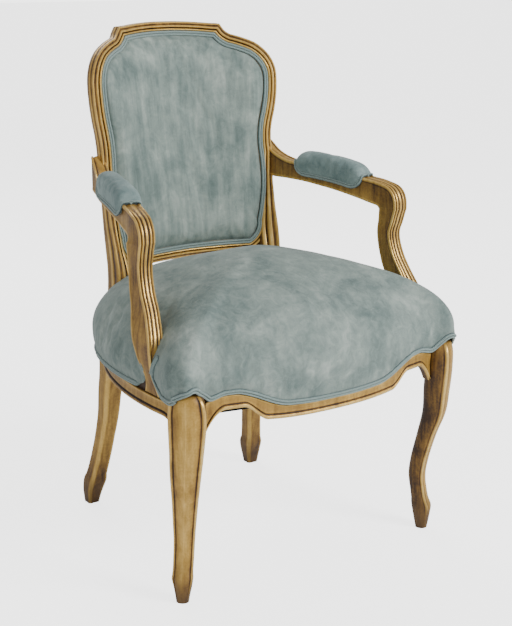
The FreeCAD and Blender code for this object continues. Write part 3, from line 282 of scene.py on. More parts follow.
class Wiring:
    """Short ways to add nodes to a tree and join them."""

    def __init__(self, tree):
        self.tree = tree

    def node(self, kind, settings=None, **inputs):
        item = self.tree.nodes.new(kind)
        for name, value in (settings or {}).items():
            setattr(item, name, value)
        for name, value in inputs.items():
            self.feed(item.inputs[name.replace("_", " ")], value)
        return item

    def feed(self, socket, value):
        if isinstance(value, bpy.types.NodeSocket):
            self.tree.links.new(value, socket)
        else:
            socket.default_value = value

    def maths(self, operation, a, b=0.0, clamp=False):
        item = self.tree.nodes.new("ShaderNodeMath")
        item.operation = operation
        item.use_clamp = clamp
        self.feed(item.inputs[0], a)
        self.feed(item.inputs[1], b)
        return item.outputs[0]

    def blend(self, factor, a, b, kind="MIX"):
        item = self.tree.nodes.new("ShaderNodeMix")
        item.data_type = "RGBA"
        item.blend_type = kind
        self.feed(item.inputs[0], factor)
        self.feed(item.inputs[6], a)
        self.feed(item.inputs[7], b)
        return item.outputs[2]

    def ramp(self, factor, stops):
        item = self.tree.nodes.new("ShaderNodeValToRGB")
        ramp = item.color_ramp
        while len(ramp.elements) < len(stops):
            ramp.elements.new(0.5)
        for element, (place, colour) in zip(ramp.elements, stops):
            element.position = place
            element.color = (*colour, 1.0)
        self.feed(item.inputs[0], factor)
        return item.outputs[0]

    def noise(self, vector, scale, detail=4.0, roughness=0.6, distortion=0.0):
        item = self.node(
            "ShaderNodeTexNoise", None, Vector=vector, Scale=scale, Detail=detail,
            Roughness=roughness, Distortion=distortion,
        )
        return item.outputs["Fac"]

    def stretched(self, vector, scale):
        item = self.node("ShaderNodeMapping", None, Vector=vector, Scale=scale)
        return item.outputs[0]

    def bump(self, height, strength, distance):
        item = self.node("ShaderNodeBump", None, Height=height, Strength=strength, Distance=distance)
        return item.outputs[0]


def new_group(name, inputs, outputs):
    """A node group with named float inputs and named colour or float outputs."""
    group = bpy.data.node_groups.new(name, "ShaderNodeTree")
    for label, value in inputs:
        socket = group.interface.new_socket(label, in_out="INPUT", socket_type="NodeSocketFloat")
        socket.default_value = value
    for label, kind in outputs:
        group.interface.new_socket(label, in_out="OUTPUT", socket_type=kind)
    enter = group.nodes.new("NodeGroupInput")
    leave = group.nodes.new("NodeGroupOutput")
    return group, Wiring(group), enter, leave


def gilding_group():
    """Gilding with painted light: lighter gold on the ridges as painted highlight, brown patina deepened with
    painted shade in the hollows, darker towards the feet.
    """
    group, w, enter, leave = new_group(
        "Gilding with patina and painted light",
        [("Relief", 0.0), ("Wear", 0.5), ("Foot height", 0.09)],
        [
            ("Colour", "NodeSocketColor"), ("Roughness", "NodeSocketFloat"),
            ("Metal", "NodeSocketFloat"), ("Height", "NodeSocketFloat"),
        ],
    )
    place = w.node("ShaderNodeTexCoord").outputs["Object"]
    patches = w.noise(place, 16.0, 6.0, 0.62, 0.6)
    streaks = w.noise(w.stretched(place, (55.0, 55.0, 6.0)), 2.2, 5.0, 0.6)
    grain = w.noise(place, 260.0, 3.0, 0.6)
    # Relief sets the colour: ridges lighter as painted highlight, hollows going from brown patina down to
    # near-black painted shade.
    level = w.maths("MULTIPLY_ADD", enter.outputs["Relief"], 0.34)
    level.node.inputs[2].default_value = 0.47
    drift = w.maths("SUBTRACT", w.maths("ADD", patches, streaks), 1.0)
    worn = w.maths("MULTIPLY", enter.outputs["Wear"], 1.05)
    level = w.maths("ADD", level, w.maths("MULTIPLY", drift, worn))
    level = w.maths("ADD", level, w.maths("MULTIPLY", w.maths("SUBTRACT", grain, 0.5), 0.22), True)
    colour = w.ramp(level, (
        (0.0, (0.016, 0.006, 0.002)),
        (0.18, (0.06, 0.024, 0.006)),
        (0.36, (0.27, 0.14, 0.026)),
        (0.58, (0.56, 0.33, 0.07)),
        (0.8, (0.84, 0.55, 0.16)),
        (1.0, (0.97, 0.76, 0.33)),
    ))
    height = w.node("ShaderNodeSeparateXYZ", None, Vector=place).outputs["Z"]
    foot = w.maths("SUBTRACT", 1.0, w.maths("DIVIDE", height, enter.outputs["Foot height"], True))
    foot = w.maths("MULTIPLY", w.maths("MULTIPLY", foot, patches), 1.5, True)
    colour = w.blend(foot, colour, (0.07, 0.036, 0.018, 1.0))
    w.feed(leave.inputs["Colour"], colour)
    rough = w.maths("SUBTRACT", 0.62, w.maths("MULTIPLY", level, 0.3))
    w.feed(leave.inputs["Roughness"], rough)
    metal = w.maths("MULTIPLY", w.maths("SUBTRACT", level, 0.12, True), 0.95, True)
    w.feed(leave.inputs["Metal"], metal)
    w.feed(leave.inputs["Height"], w.maths("ADD", grain, w.maths("MULTIPLY", patches, 0.8)))
    return group


def velvet_group():
    """Crushed pile: pale where it is brushed up, darker where it is pressed down."""
    group, w, enter, leave = new_group(
        "Crushed velvet",
        [("Crush", 0.5), ("Streaks", 0.3)],
        [("Colour", "NodeSocketColor"), ("Height", "NodeSocketFloat")],
    )
    place = w.node("ShaderNodeTexCoord").outputs["Object"]
    clouds = w.noise(place, 9.0, 4.0, 0.55, 1.4)
    blots = w.noise(place, 52.0, 5.0, 0.66, 1.2)
    streaks = w.noise(w.stretched(place, (62.0, 62.0, 4.0)), 1.0, 4.0, 0.6, 0.3)
    pile = w.noise(place, 900.0, 2.0, 0.5)
    level = w.maths("ADD", w.maths("MULTIPLY", clouds, 0.62), w.maths("MULTIPLY", blots, 0.38))
    crushed = w.maths("MULTIPLY", enter.outputs["Crush"], 4.4)
    level = w.maths("MULTIPLY_ADD", w.maths("SUBTRACT", level, 0.5), crushed)
    level.node.inputs[2].default_value = 0.5
    streaked = w.maths("MULTIPLY", enter.outputs["Streaks"], 2.6)
    lines = w.maths("MULTIPLY", w.maths("SUBTRACT", streaks, 0.5), streaked)
    level = w.maths("ADD", level, lines)
    level = w.maths("ADD", level, w.maths("MULTIPLY", w.maths("SUBTRACT", pile, 0.5), 0.3), True)
    colour = w.ramp(level, (
        (0.0, (0.1, 0.142, 0.136)),
        (0.3, (0.175, 0.232, 0.218)),
        (0.62, (0.29, 0.355, 0.325)),
        (1.0, (0.5, 0.565, 0.515)),
    ))
    w.feed(leave.inputs["Colour"], colour)
    height = w.maths("ADD", w.maths("MULTIPLY", pile, 0.5), w.maths("MULTIPLY", blots, 2.0))
    w.feed(leave.inputs["Height"], height)
    return group


def make_materials(wear):
    gilding = gilding_group()
    _, tree, shader = new_material("gilded_wood")
    w = Wiring(tree)
    # The relief attribute brings painted highlight on ridges and brown patina with painted shade in hollows.
    relief = w.node("ShaderNodeAttribute", {"attribute_name": "relief"}).outputs["Fac"]
    item = w.node("ShaderNodeGroup", {"node_tree": gilding}, Relief=relief, Wear=wear, Foot_height=0.09)
    w.feed(shader.inputs["Base Color"], item.outputs["Colour"])
    w.feed(shader.inputs["Roughness"], item.outputs["Roughness"])
    w.feed(shader.inputs["Metallic"], item.outputs["Metal"])
    w.feed(shader.inputs["Normal"], w.bump(item.outputs["Height"], 0.35, 0.0006))
    shader.inputs["Coat Weight"].default_value = 0.12
    shader.inputs["Coat Roughness"].default_value = 0.35

    pile = velvet_group()
    for name, crush, streaks, tint in (
        ("velvet", 0.44, 0.14, (1.0, 1.0, 1.0, 1.0)),
        ("velvet_back", 0.3, 0.42, (1.04, 1.04, 1.03, 1.0)),
        ("velvet_pad", 0.45, 0.1, (0.92, 1.0, 1.06, 1.0)),
    ):
        _, tree, shader = new_material(name)
        w = Wiring(tree)
        item = w.node("ShaderNodeGroup", {"node_tree": pile}, Crush=crush, Streaks=streaks)
        w.feed(shader.inputs["Base Color"], w.blend(1.0, item.outputs["Colour"], tint, "MULTIPLY"))
        w.feed(shader.inputs["Roughness"], 0.86)
        shader.inputs["Sheen Weight"].default_value = 0.3
        shader.inputs["Sheen Roughness"].default_value = 0.38
        shader.inputs["Sheen Tint"].default_value = (0.86, 0.95, 0.94, 1.0)
        shader.inputs["Specular IOR Level"].default_value = 0.18
        w.feed(shader.inputs["Normal"], w.bump(item.outputs["Height"], 0.5, 0.0008))

    _, tree, shader = new_material("welt")
    w = Wiring(tree)
    relief = w.node("ShaderNodeAttribute", {"attribute_name": "relief"}).outputs["Fac"]
    track = w.node("ShaderNodeUVMap", {"uv_map": "track"}).outputs[0]
    place = w.node("ShaderNodeTexCoord").outputs["Object"]
    slanted = w.stretched(track, (900.0, 9.0, 1.0))
    wave = w.node("ShaderNodeTexWave", {"bands_direction": "DIAGONAL"}, Vector=slanted, Scale=1.0)
    strands = wave.outputs["Fac"]
    fuzz = w.noise(place, 420.0, 3.0, 0.6)
    # Painted shade: near black in the crease between the cords and along the welt's edges. Painted highlight:
    # lighter cord tops. The fuzz adds random tone.
    level = w.maths("ADD", w.maths("MULTIPLY", relief, 0.5), w.maths("MULTIPLY", fuzz, 0.5), True)
    colour = w.ramp(level, (
        (0.0, (0.02, 0.035, 0.045)),
        (0.34, (0.07, 0.11, 0.12)),
        (0.62, (0.22, 0.31, 0.295)),
        (1.0, (0.42, 0.53, 0.5)),
    ))
    w.feed(shader.inputs["Base Color"], colour)
    shader.inputs["Roughness"].default_value = 0.9
    shader.inputs["Sheen Weight"].default_value = 0.3
    w.feed(shader.inputs["Normal"], w.bump(w.maths("ADD", strands, fuzz), 0.5, 0.0006))

    for name, low, high, scale, rough, metal in (
        ("bare_wood", (0.22, 0.12, 0.055), (0.42, 0.27, 0.14), 18.0, 0.75, 0.0),
        ("canvas", (0.3, 0.23, 0.14), (0.5, 0.41, 0.28), 240.0, 0.95, 0.0),
        ("stuffing", (0.55, 0.49, 0.4), (0.7, 0.65, 0.56), 60.0, 1.0, 0.0),
        ("dark_cloth", (0.012, 0.014, 0.025), (0.03, 0.034, 0.05), 300.0, 0.95, 0.0),
        ("steel", (0.35, 0.35, 0.37), (0.6, 0.6, 0.62), 40.0, 0.38, 1.0),
    ):
        _, tree, shader = new_material(name)
        w = Wiring(tree)
        place = w.node("ShaderNodeTexCoord").outputs["Object"]
        spread = w.noise(place, scale, 4.0, 0.6)
        w.feed(shader.inputs["Base Color"], w.ramp(spread, ((0.25, low), (0.75, high))))
        shader.inputs["Roughness"].default_value = rough
        shader.inputs["Metallic"].default_value = metal
        w.feed(shader.inputs["Normal"], w.bump(spread, 0.3, 0.0005))

    _, tree, shader = new_material("floor")
    w = Wiring(tree)
    shader.inputs["Base Color"].default_value = (0.9, 0.9, 0.9, 1.0)
    shader.inputs["Emission Color"].default_value = (1.0, 1.0, 1.0, 1.0)
    seen = w.node("ShaderNodeLightPath").outputs["Is Camera Ray"]
    w.feed(shader.inputs["Emission Strength"], w.maths("MULTIPLY", seen, FLOOR_GLOW))
    shader.inputs["Roughness"].default_value = 0.7


# The back's bowed surface and its outline

def bow_y(x, z):
    """How far back the frame's bowed front face lies at a place of the back."""
    above = z - 700
    return 169.3 + 0.0865 * above + (60 + 0.089 * above) * (1 - (x / 194) ** 2)


BACK_RUNS = (
    ((0, 963), (105, 957), 1.6),
    ((105, 957), (128, 937), -2.5),
    ((128, 937), (166, 922), 1.3),
    ((166, 922), (193, 868), 7.6),
    ((193, 868), (184.04, 789.97), 2.3),
    ((184.04, 789.97), (179, 715), -3.1),
    ((179, 715), (167, 575), 6.0),
    ((167, 575), (140, 528), 8.0),
    ((140, 528), (0, 529), 0.1),
)


def run_points(start, end, bulge, gap):
    """Points and normals along an arc given by its ends and its bulge."""
    along = Vector((end[0] - start[0], end[1] - start[1]))
    chord = along.length
    along.normalize()
    across = Vector((-along.y, along.x))
    half_turn = 2 * math.atan(2 * bulge / chord) or 1e-4
    radius = chord / (2 * math.sin(half_turn))
    count = max(2, round(chord / gap))
    points = []
    for step in range(count + 1):
        turn = half_turn * (2 * step / count - 1)
        forward = chord / 2 + radius * math.sin(turn)
        outward = radius * (math.cos(turn) - math.cos(half_turn))
        spot = Vector(start) + along * forward + across * outward
        points.append((spot, along * math.sin(turn) + across * math.cos(turn)))
    return points


def back_outline(first, last, gap=7):
    """Stations of the inner edge over some of its runs: x, z, normal x, normal z, stretch."""
    runs = [run_points(*run, gap) for run in BACK_RUNS]
    stations = []
    for index in range(first, last):
        for step, (spot, normal) in enumerate(runs[index]):
            stretch = 1.0
            other = None
            if step == 0 and index > 0:
                other = runs[index - 1][-1][1]
            if step == len(runs[index]) - 1 and index < len(runs) - 1:
                other = runs[index + 1][0][1]
            if other is not None:
                total = normal + other
                stretch = 2 / total.length
                normal = total.normalized()
            if step == 0 and index > first:
                continue
            stations.append((spot.x, spot.y, normal.x, normal.y, stretch))
    if first == 0:
        x, z, _, _, _ = stations[0]
        stations[0] = (x, z, 0.0, 1.0, 1.0)
    if last == len(BACK_RUNS):
        x, z, _, _, _ = stations[-1]
        stations[-1] = (x, z, 0.0, -1.0, 1.0)
    return stations


# Relief in these tables sets the gilding's colour: lighter on ridges as painted highlight, brown patina and
# painted shade in the grooves.
# Moulding of the back's frame: share of the width, depth behind the face, relief
FRAME_FACE = (
    (0.0, 2.9, 0.1), (0.02, 1.5, 0.6), (0.06, 0.6, 0.9), (0.115, 0.2, 1.0), (0.17, 0.5, 0.9),
    (0.215, 1.4, 0.5), (0.235, 3.0, -0.5), (0.265, 4.9, -1.0), (0.3, 5.4, -1.1), (0.335, 4.8, -1.0),
    (0.36, 2.9, -0.2), (0.4, 1.2, 0.7), (0.46, 0.3, 1.0), (0.53, 0.2, 1.0), (0.585, 0.9, 0.7),
    (0.625, 2.2, -0.1), (0.67, 3.3, -0.6), (0.725, 3.9, -0.85), (0.775, 3.6, -0.6), (0.81, 2.7, 0.1),
    (0.86, 1.9, 0.75), (0.92, 1.8, 0.95), (0.97, 2.6, 0.9), (1.0, 4.3, 0.5),
)
# Moulding of its outer side: share of the depth, distance outside the width, relief
FRAME_SIDE = (
    (0.27, 0.0, -0.3), (0.33, -0.7, -0.8), (0.39, -0.5, -0.5), (0.45, 0.4, 0.5), (0.52, 0.7, 0.85),
    (0.59, 0.2, 0.4), (0.65, -0.3, -0.3), (0.82, -0.4, -0.1), (0.94, -1.4, 0.3), (0.985, -3.2, 0.4),
)


RAIL_DEPTH = 28
LEDGE = 12  # behind the edge of the back's cover
LEDGE_END = 560
LOWER_RAIL_FLOOR = 500
BACK_MIDDLE = 745


def frame_ring(width, depth, strength=1.0):
    """The frame's section as distance from its inner edge, depth behind its face and relief."""
    points = []
    for share, sink, relief in FRAME_FACE:
        points.append((share * width, mix(min(sink, 2.0), sink, strength), relief))
    for share, out, relief in FRAME_SIDE:
        points.append((width + out, share * depth, relief))
    return points


def frame_section(station):
    x, z, normal_x, normal_z, stretch = station
    side = abs(normal_x)
    width = mix(17, 20, side)
    near = bow_y(x, z)
    lean = 0.1 * side
    section = []
    for u, v, relief in frame_ring(width, RAIL_DEPTH):
        out = max(u, 0) * stretch
        y = near - lean * u * (1 - v / RAIL_DEPTH) + v
        section.append((x + normal_x * out, y, z + normal_z * out, relief))
    for u, v in ((width - 6, RAIL_DEPTH), (0, RAIL_DEPTH), (-LEDGE, RAIL_DEPTH), (-LEDGE, 5), (0, 5)):
        out = u * stretch
        px = x + normal_x * out
        pz = z + normal_z * out
        base = near if u >= 0 else bow_y(px, pz)
        section.append((px, base + v, pz, -0.5))
    return section


def stile_section(height, x_in, x_out, near, far, back, ledge, strength=1.0):
    width = x_out - x_in
    depth = back - near
    section = []
    for u, v, relief in frame_ring(width, depth, strength):
        lean = (near - far) * (u / width) * (1 - v / depth)
        section.append((x_in + u, near + v - lean, height, mix(-0.25, relief, strength)))
    for u, v in ((width - 6, depth), (0, depth), (-ledge, depth), (-ledge, 5), (0, 5)):
        base = near if ledge < 3 else (bow_y(x_in - ledge, height) if u < 0 else near)
        section.append((x_in + u, (back if v == depth else base + v), height, -0.5))
    return section


# Cabriole legs

def knee_section(centre, width, depth, ridge, carving):
    """A section that faces outwards along its diagonal, between two beads."""
    half_w = width / 2
    half_d = depth / 2
    # Relief: beads lighter as painted highlight, the hollows beside them darker as patina and painted shade.
    side = (
        (0.0, -1.0, -0.7), (0.3, -0.94, -0.7), (0.58, -0.76, -0.7), (0.8, -0.4, -0.65), (0.92, 0.0, -0.55),
        (0.965, 0.3, -0.45), (0.955, 0.42, -0.9), (0.99, 0.5, 0.4), (1.01, 0.6, 0.95), (0.97, 0.7, 1.0),
        (0.9, 0.745, 0.9), (0.83, 0.73, 0.2), (0.785, 0.685, -1.0), (0.74, 0.7, -0.9), (0.68, 0.77, -0.1),
        (0.52, 0.87, 0.25), (0.34, 0.945, 0.4), (0.17, 0.985, 0.5), (0.06, 0.995, 0.55),
    )
    right = Vector((math.sqrt(0.5), math.sqrt(0.5), 0))
    out = Vector((math.sqrt(0.5), -math.sqrt(0.5), 0))
    section = []
    plain = 1 - carving
    ring = [(t, r, v) for t, r, v in side] + [(0.0, 1.0 + 0.03 * ridge, 0.75)]
    ring += [(-t, r, v) for t, r, v in side[:0:-1]]
    for t, r, relief in ring:
        if plain > 0:
            size = math.hypot(t, r) or 1
            t = mix(t, t / size, plain * 0.8)
            r = mix(r, r / size, plain * 0.8)
        spot = Vector(centre) + right * (t * half_w) + out * (r * half_d)
        section.append((spot.x, spot.y, spot.z, mix(relief, -0.3, plain)))
    return section


FRONT_LEG = (
    # height, outward, forward, width, depth, carving
    (0, 0, 0, 23, 23, 0.0), (6, -0.1, 0.1, 25, 25, 0.0), (13, -0.4, 0.3, 27, 28, 0.1),
    (33, -1.4, 0.8, 34, 35, 0.4), (47, -2.0, 1.0, 38, 39, 0.9), (55, -3.2, 0.0, 37, 38, 1.0),
    (63, -4.6, -1.2, 36.5, 35, 1.0),
    (82, -7.4, -3.0, 37, 33, 1.0), (114, -10.7, -5.3, 38, 33.5, 1.0), (152, -9.2, -0.4, 42, 35, 1.0),
    (203, -4.0, 11.4, 48, 38, 1.0), (251, 1.6, 24.0, 55, 45, 1.0), (299, 1.5, 29.0, 61, 50, 1.0),
    (339, 1.9, 32.5, 66, 52, 1.0), (364, 2.0, 33.0, 66, 53, 1.0), (379, 2.0, 32.6, 62, 52, 1.0),
    (389, 2.0, 31.5, 57, 49, 0.8), (395, 2.0, 30.4, 50, 44, 0.4), (398.5, 2.0, 29.8, 40, 36, 0.1),
)


FRONT_FOOT = (281, -223)
BACK_FOOT = (202, 268)


def front_leg():
    sections = []
    for height, outward, forward, width, depth, carving in through(FRONT_LEG, 6):
        centre = (FRONT_FOOT[0] + outward, FRONT_FOOT[1] - forward, height)
        ridge = ease((height - 60) / 60) * ease((360 - height) / 60)
        sections.append(knee_section(centre, width, depth, ridge, min(1, max(0, carving))))
    return sections


BACK_LEG = (
    # height, inward, forward, across, along
    (0, 0, 0, 25, 25), (6, 0.2, 0.4, 27, 27), (12, 0.5, 1, 29, 29), (30, 2, 3, 35, 35), (50, 4.5, 8, 40, 40),
    (60, 5.8, 10.5, 38.5, 38.5), (68, 7, 13, 36, 36), (100, 12, 21, 35, 35), (150, 18.5, 31, 35, 35),
    (200, 23.5, 40, 37, 37), (250, 26, 45, 40, 40), (300, 27, 55, 42, 45), (340, 27, 62, 43, 52),
    (392, 28.4, 79, 41, 55),
)


def rounded_section(x, y, height, across, along, relief):
    """A horizontal square section with beaded corners."""
    points = []
    for corner, (sx, sy) in enumerate(((1, -1), (1, 1), (-1, 1), (-1, -1))):
        for step in range(5):
            turn = math.radians(corner * 90 - 90 + step * 22.5)
            radius = 0.24 * min(across, along)
            px = x + sx * (across / 2 - radius) + radius * math.cos(turn)
            py = y + sy * (along / 2 - radius) + radius * math.sin(turn)
            # Beaded corners get a high relief and are painted lighter as highlight.
            points.append((px, py, height, 0.75 if step in (1, 2, 3) else relief))
        nx, ny = ((1, 0), (0, 1), (-1, 0), (0, -1))[corner]
        points.append((x + nx * (across / 2 - 0.7), y + ny * (along / 2 - 0.7), height, relief))
    return points


def back_leg():
    sections = []
    for height, inward, forward, across, along in through(BACK_LEG, 5):
        dark = mix(-0.55, -0.05, ease((height - 30) / 120))
        x, y = BACK_FOOT[0] - inward, BACK_FOOT[1] - forward
        sections.append(rounded_section(x, y, height, across, along, dark))
    return sections


STILE = (
    # height, inner x, outer x, inner front or 0 for the bow, outer front, back, carving
    (655, 173.9, 196, 0, 170, 203, 1.0), (603, 169.9, 195, 0, 158, 200, 1.0),
    (560, 165, 194, 0, 144, 196, 1.0), (520, 161, 193, 156, 138, 192, 1.0),
    (480, 158, 193, 148, 138, 192, 0.9), (440, 155, 193, 150, 144, 200, 0.6),
    (388, 153, 193, 165, 162, 215, 0.2),
)


def stile():
    sections = [frame_section(station) for station in back_outline(4, 6)]
    rows = []
    for height, x_in, x_out, near, far, back, carving in STILE:
        rows.append((height, x_in, x_out, near or bow_y(x_in, height), far, back, carving))
    for row in through(rows, 5):
        ledge = LEDGE if row[0] > LEDGE_END else 1
        sections.append(stile_section(*row[:6], ledge, row[6]))
    return sections


# Seat rails

def circle_through(a, b, c):
    ax, ay, bx, by, cx, cy = *a, *b, *c
    d = 2 * (ax * (by - cy) + bx * (cy - ay) + cx * (ay - by))
    ux = ((ax**2 + ay**2) * (by - cy) + (bx**2 + by**2) * (cy - ay) + (cx**2 + cy**2) * (ay - by)) / d
    uy = ((ax**2 + ay**2) * (cx - bx) + (bx**2 + by**2) * (ax - cx) + (cx**2 + cy**2) * (bx - ax)) / d
    return ux, uy, math.hypot(ax - ux, ay - uy)


FRONT_LINE = circle_through((-253, -264), (0, -297), (253, -264))
SIDE_LINE = circle_through((300, -185), (289, -20), (205, 190))


def front_point(x):
    cx, cy, radius = FRONT_LINE
    y = cy - math.sqrt(radius**2 - (x - cx) ** 2)
    return Vector((x, y)), Vector((x - cx, y - cy)).normalized()


def side_point(y):
    cx, cy, radius = SIDE_LINE
    x = cx + math.sqrt(radius**2 - (y - cy) ** 2)
    return Vector((x, y)), Vector((x - cx, y - cy)).normalized()


def front_edge(x):
    reach = abs(x)
    if reach <= 138:
        return 326 + 5 * (reach / 138) ** 3
    if reach <= 186:
        return 326 + mix(5, 34, ease((reach - 138) / 48))
    if reach <= 218:
        return 360
    return 360 - 0.028 * (reach - 218) ** 2


def front_lip(x):
    reach = abs(x)
    if reach <= 95:
        return 349 + 2 * (reach / 95) ** 3
    if reach <= 208:
        return 349 + mix(2, 37, ease((reach - 95) / 113))
    return 386 - 0.004 * (reach - 208) ** 2


def side_edge(y):
    from_leg = y + 226
    to_leg = 166 - y
    return 343 - 14 * max(0, 1 - from_leg / 34) ** 2 - 9 * max(0, 1 - max(to_leg, 0) / 60) ** 2


SIDE_LIP = 371.0


def rail_section(point, outward, low, high, dark):
    """The rail's carved board: a bead below, a groove, a flat band and a small upper bead."""
    middle = mix(low + 10.5, high, 0.5)
    profile = (
        (-16, low + 1, -0.9), (-6, low + 0.2, -0.6), (-4.4, low - 0.3, 0.3), (-2.6, low - 0.5, 0.8),
        (-0.8, low + 0.3, 1.0), (0.3, low + 1.8, 1.0), (0.8, low + 3.6, 0.95), (0.5, low + 5.4, 0.6),
        (-0.7, low + 6.9, -0.3),
        (-2.4, low + 7.8, -1.0), (-2.7, low + 8.8, -1.0), (-1.7, low + 9.8, -0.2), (-1.1, low + 10.8, 0.25),
        (-1.7, mix(low + 10.8, middle, 0.6), 0.05), (-1.9, middle, 0.1), (-1.2, mix(middle, high, 0.6), 0.3),
        (-0.2, high - 2.8, 0.7), (0.1, high - 1.4, 0.8), (-0.8, high - 0.2, 0.3), (-6.5, high, -0.8),
        (-6.5, RAIL_TOP, -0.8), (-16, RAIL_TOP, -0.8),
    )
    section = []
    for u, z, relief in profile:
        spot = point + outward * u
        # Relief paints the gilding: the groove darker with patina and painted shade, the beads lighter as
        # painted highlight. Dark takes the relief lower still as painted shade, most on the lower bead and
        # groove.
        shade = relief - dark * (1.1 if z < low + 9.5 else 0.15)
        section.append((spot.x, spot.y, z, shade))
    return section


def front_rail():
    marks = sorted(set(list(range(0, 130, 12)) + list(range(130, 252, 5)) + [254]))
    stations = [-x for x in marks[:0:-1]] + marks
    return [rail_section(*front_point(x), front_edge(x), front_lip(x), 0.0) for x in stations]


def side_rail():
    marks = sorted(set(list(range(-234, -150, 6)) + list(range(-150, 188, 14)) + [190]))
    # The side rails get dark 0.75: painted shade on their lower bead and groove.
    return [rail_section(*side_point(y), side_edge(y), SIDE_LIP, 0.75) for y in marks]


# Arms and supports: each row has the lower point, the upper point, the width and the fluting

ARM = (
    ((200, 199, 668), (200, 199, 737), 26, 0), ((207, 172, 665), (207, 172, 716), 28, 0),
    ((220, 135, 664), (220, 135, 702), 31, 0), ((234, 90, 661), (234, 90, 702), 33, 0),
    ((251, 20, 653), (251, 20, 697), 34, 0), ((265, -40, 643), (265, -40, 688), 34, 0.1),
    ((273, -68, 637), (273, -72, 684), 34, 0.5), ((278, -80, 634), (279, -97, 679), 34, 1),
    ((280, -83, 632), (282, -114, 673), 33.5, 1), ((281, -83, 630), (283.5, -125, 662), 33, 1),
    ((282, -82.5, 628.5), (284, -131, 648), 32.5, 1), ((284, -81.5, 627), (284, -132, 632), 32, 1),
)
SUPPORT = (
    ((284, -81.5, 627), (284, -132, 632), 32, 1), ((283, -81, 606), (283, -124, 606), 31, 1),
    ((281, -80, 580), (281, -118, 580), 30, 1), ((283, -85, 545), (283, -128, 545), 30, 1),
    ((286, -93, 515), (286, -146, 515), 30, 1), ((293, -105, 482), (293, -166, 482), 31, 1),
    ((295.5, -111, 467), (295.5, -172, 467), 30.5, 1), ((297, -117, 454), (297, -174, 454), 28, 0.2),
    ((297, -129, 430), (297, -175, 430), 25, 0), ((295, -145, 408), (295, -174, 408), 22, 0),
    ((293, -143, 390), (293, -177, 390), 17, 0), ((292, -136, 373), (292, -184, 373), 14, 0),
)
# Relief here too: beads lighter as painted highlight, flutes and grooves darker with patina and painted shade.
# Moulding of a bar's top: share of the half width, height from the top, relief
BAR_PLAIN = (
    (0.0, -0.9, 0.35), (0.14, -0.8, 0.35), (0.27, -0.9, 0.25), (0.36, -1.3, 0.1), (0.46, -1.9, -0.1),
    (0.55, -2.5, -0.6), (0.62, -2.7, -1.0), (0.68, -1.9, -0.5), (0.75, -0.7, 0.7), (0.84, 0.0, 1.0),
    (0.92, -0.5, 1.0), (0.985, -2.0, 0.9), (1.02, -4.2, 0.7), (1.0, -6.2, 0.0), (0.955, -7.8, -1.0),
    (0.95, -9.2, -0.5),
)
BAR_FLUTED = (
    (0.0, -0.5, 0.95), (0.12, -0.9, 0.7), (0.2, -2.6, -0.9), (0.27, -3.0, -1.0), (0.34, -2.4, -0.8),
    (0.42, -0.7, 0.75), (0.5, -0.5, 0.95), (0.58, -1.0, 0.5), (0.65, -2.9, -1.0), (0.75, -2.3, -0.4),
    (0.84, -0.4, 0.95), (0.93, -0.9, 1.0), (0.99, -2.6, 0.8), (1.0, -4.8, 0.3), (0.955, -7.0, -0.9),
    (0.95, -9.2, -0.4),
)
# Its flanks and underside: share of the half width, share of the height, relief
BAR_UNDER = (
    (0.95, 0.3, -0.15), (0.95, 0.14, -0.1), (0.985, 0.1, 0.5), (0.98, 0.055, 0.75), (0.9, 0.01, 0.6),
    (0.76, 0.0, -0.2), (0.4, 0.0, -0.5),
)


ELBOW_HEIGHT = 640


def bar_section(low, high, width, fluting, across):
    upward = Vector(high) - Vector(low)
    height = upward.length
    upward.normalize()
    half = width / 2
    scale = min(1.0, height / 38, width / 27)
    side = []
    for plain, fluted in zip(BAR_PLAIN, BAR_FLUTED):
        a, b, relief = (mix(p, q, fluting) for p, q in zip(plain, fluted))
        side.append((a * half, height + b * scale, relief))
    for a, b, relief in BAR_UNDER:
        side.append((a * half, b * height, relief))
    ring = side + [(0.0, 0.0, -0.5)] + [(-a, b, relief) for a, b, relief in side[:0:-1]]
    section = []
    for a, b, relief in ring:
        spot = Vector(low) + across * a + upward * b
        section.append((spot.x, spot.y, spot.z, relief))
    return section


def bar_sections(rows, steps):
    flat = [(*low, *high, width, fluting) for low, high, width, fluting in rows]
    rows = through(flat, steps)
    sections = []
    for index, row in enumerate(rows):
        before = rows[max(index - 1, 0)]
        after = rows[min(index + 1, len(rows) - 1)]
        along = Vector((after[3] - before[3], after[4] - before[4], 0))
        across = Vector((1, 0, 0))
        if along.length > 1.5 and row[2] > ELBOW_HEIGHT:
            along.normalize()
            turned = Vector((-along.y, along.x, 0))
            across = turned.lerp(across, ease(-row[1] / 120)).normalized()
        fluting = min(1, max(0, row[7]))
        sections.append(bar_section(row[:3], row[3:6], row[6], fluting, across))
    return sections


# Upholstery

# The right half of the seat's plan, from the middle of its front to the middle of its rear
SEAT_PLAN = (
    (0, -297), (45, -296), (90, -292.6), (135, -287), (180, -279.5), (220, -271.8), (250, -267.5),
    (270, -272), (286, -280), (298, -276), (306, -266), (311.5, -252), (311, -238), (306.5, -215),
    (302, -190), (299.5, -160), (297, -120), (294.5, -70), (290.5, -20), (283, 30), (271, 78), (254, 122),
    (234, 158), (212, 188), (190, 203), (150, 207), (100, 209), (50, 210), (0, 210),
)


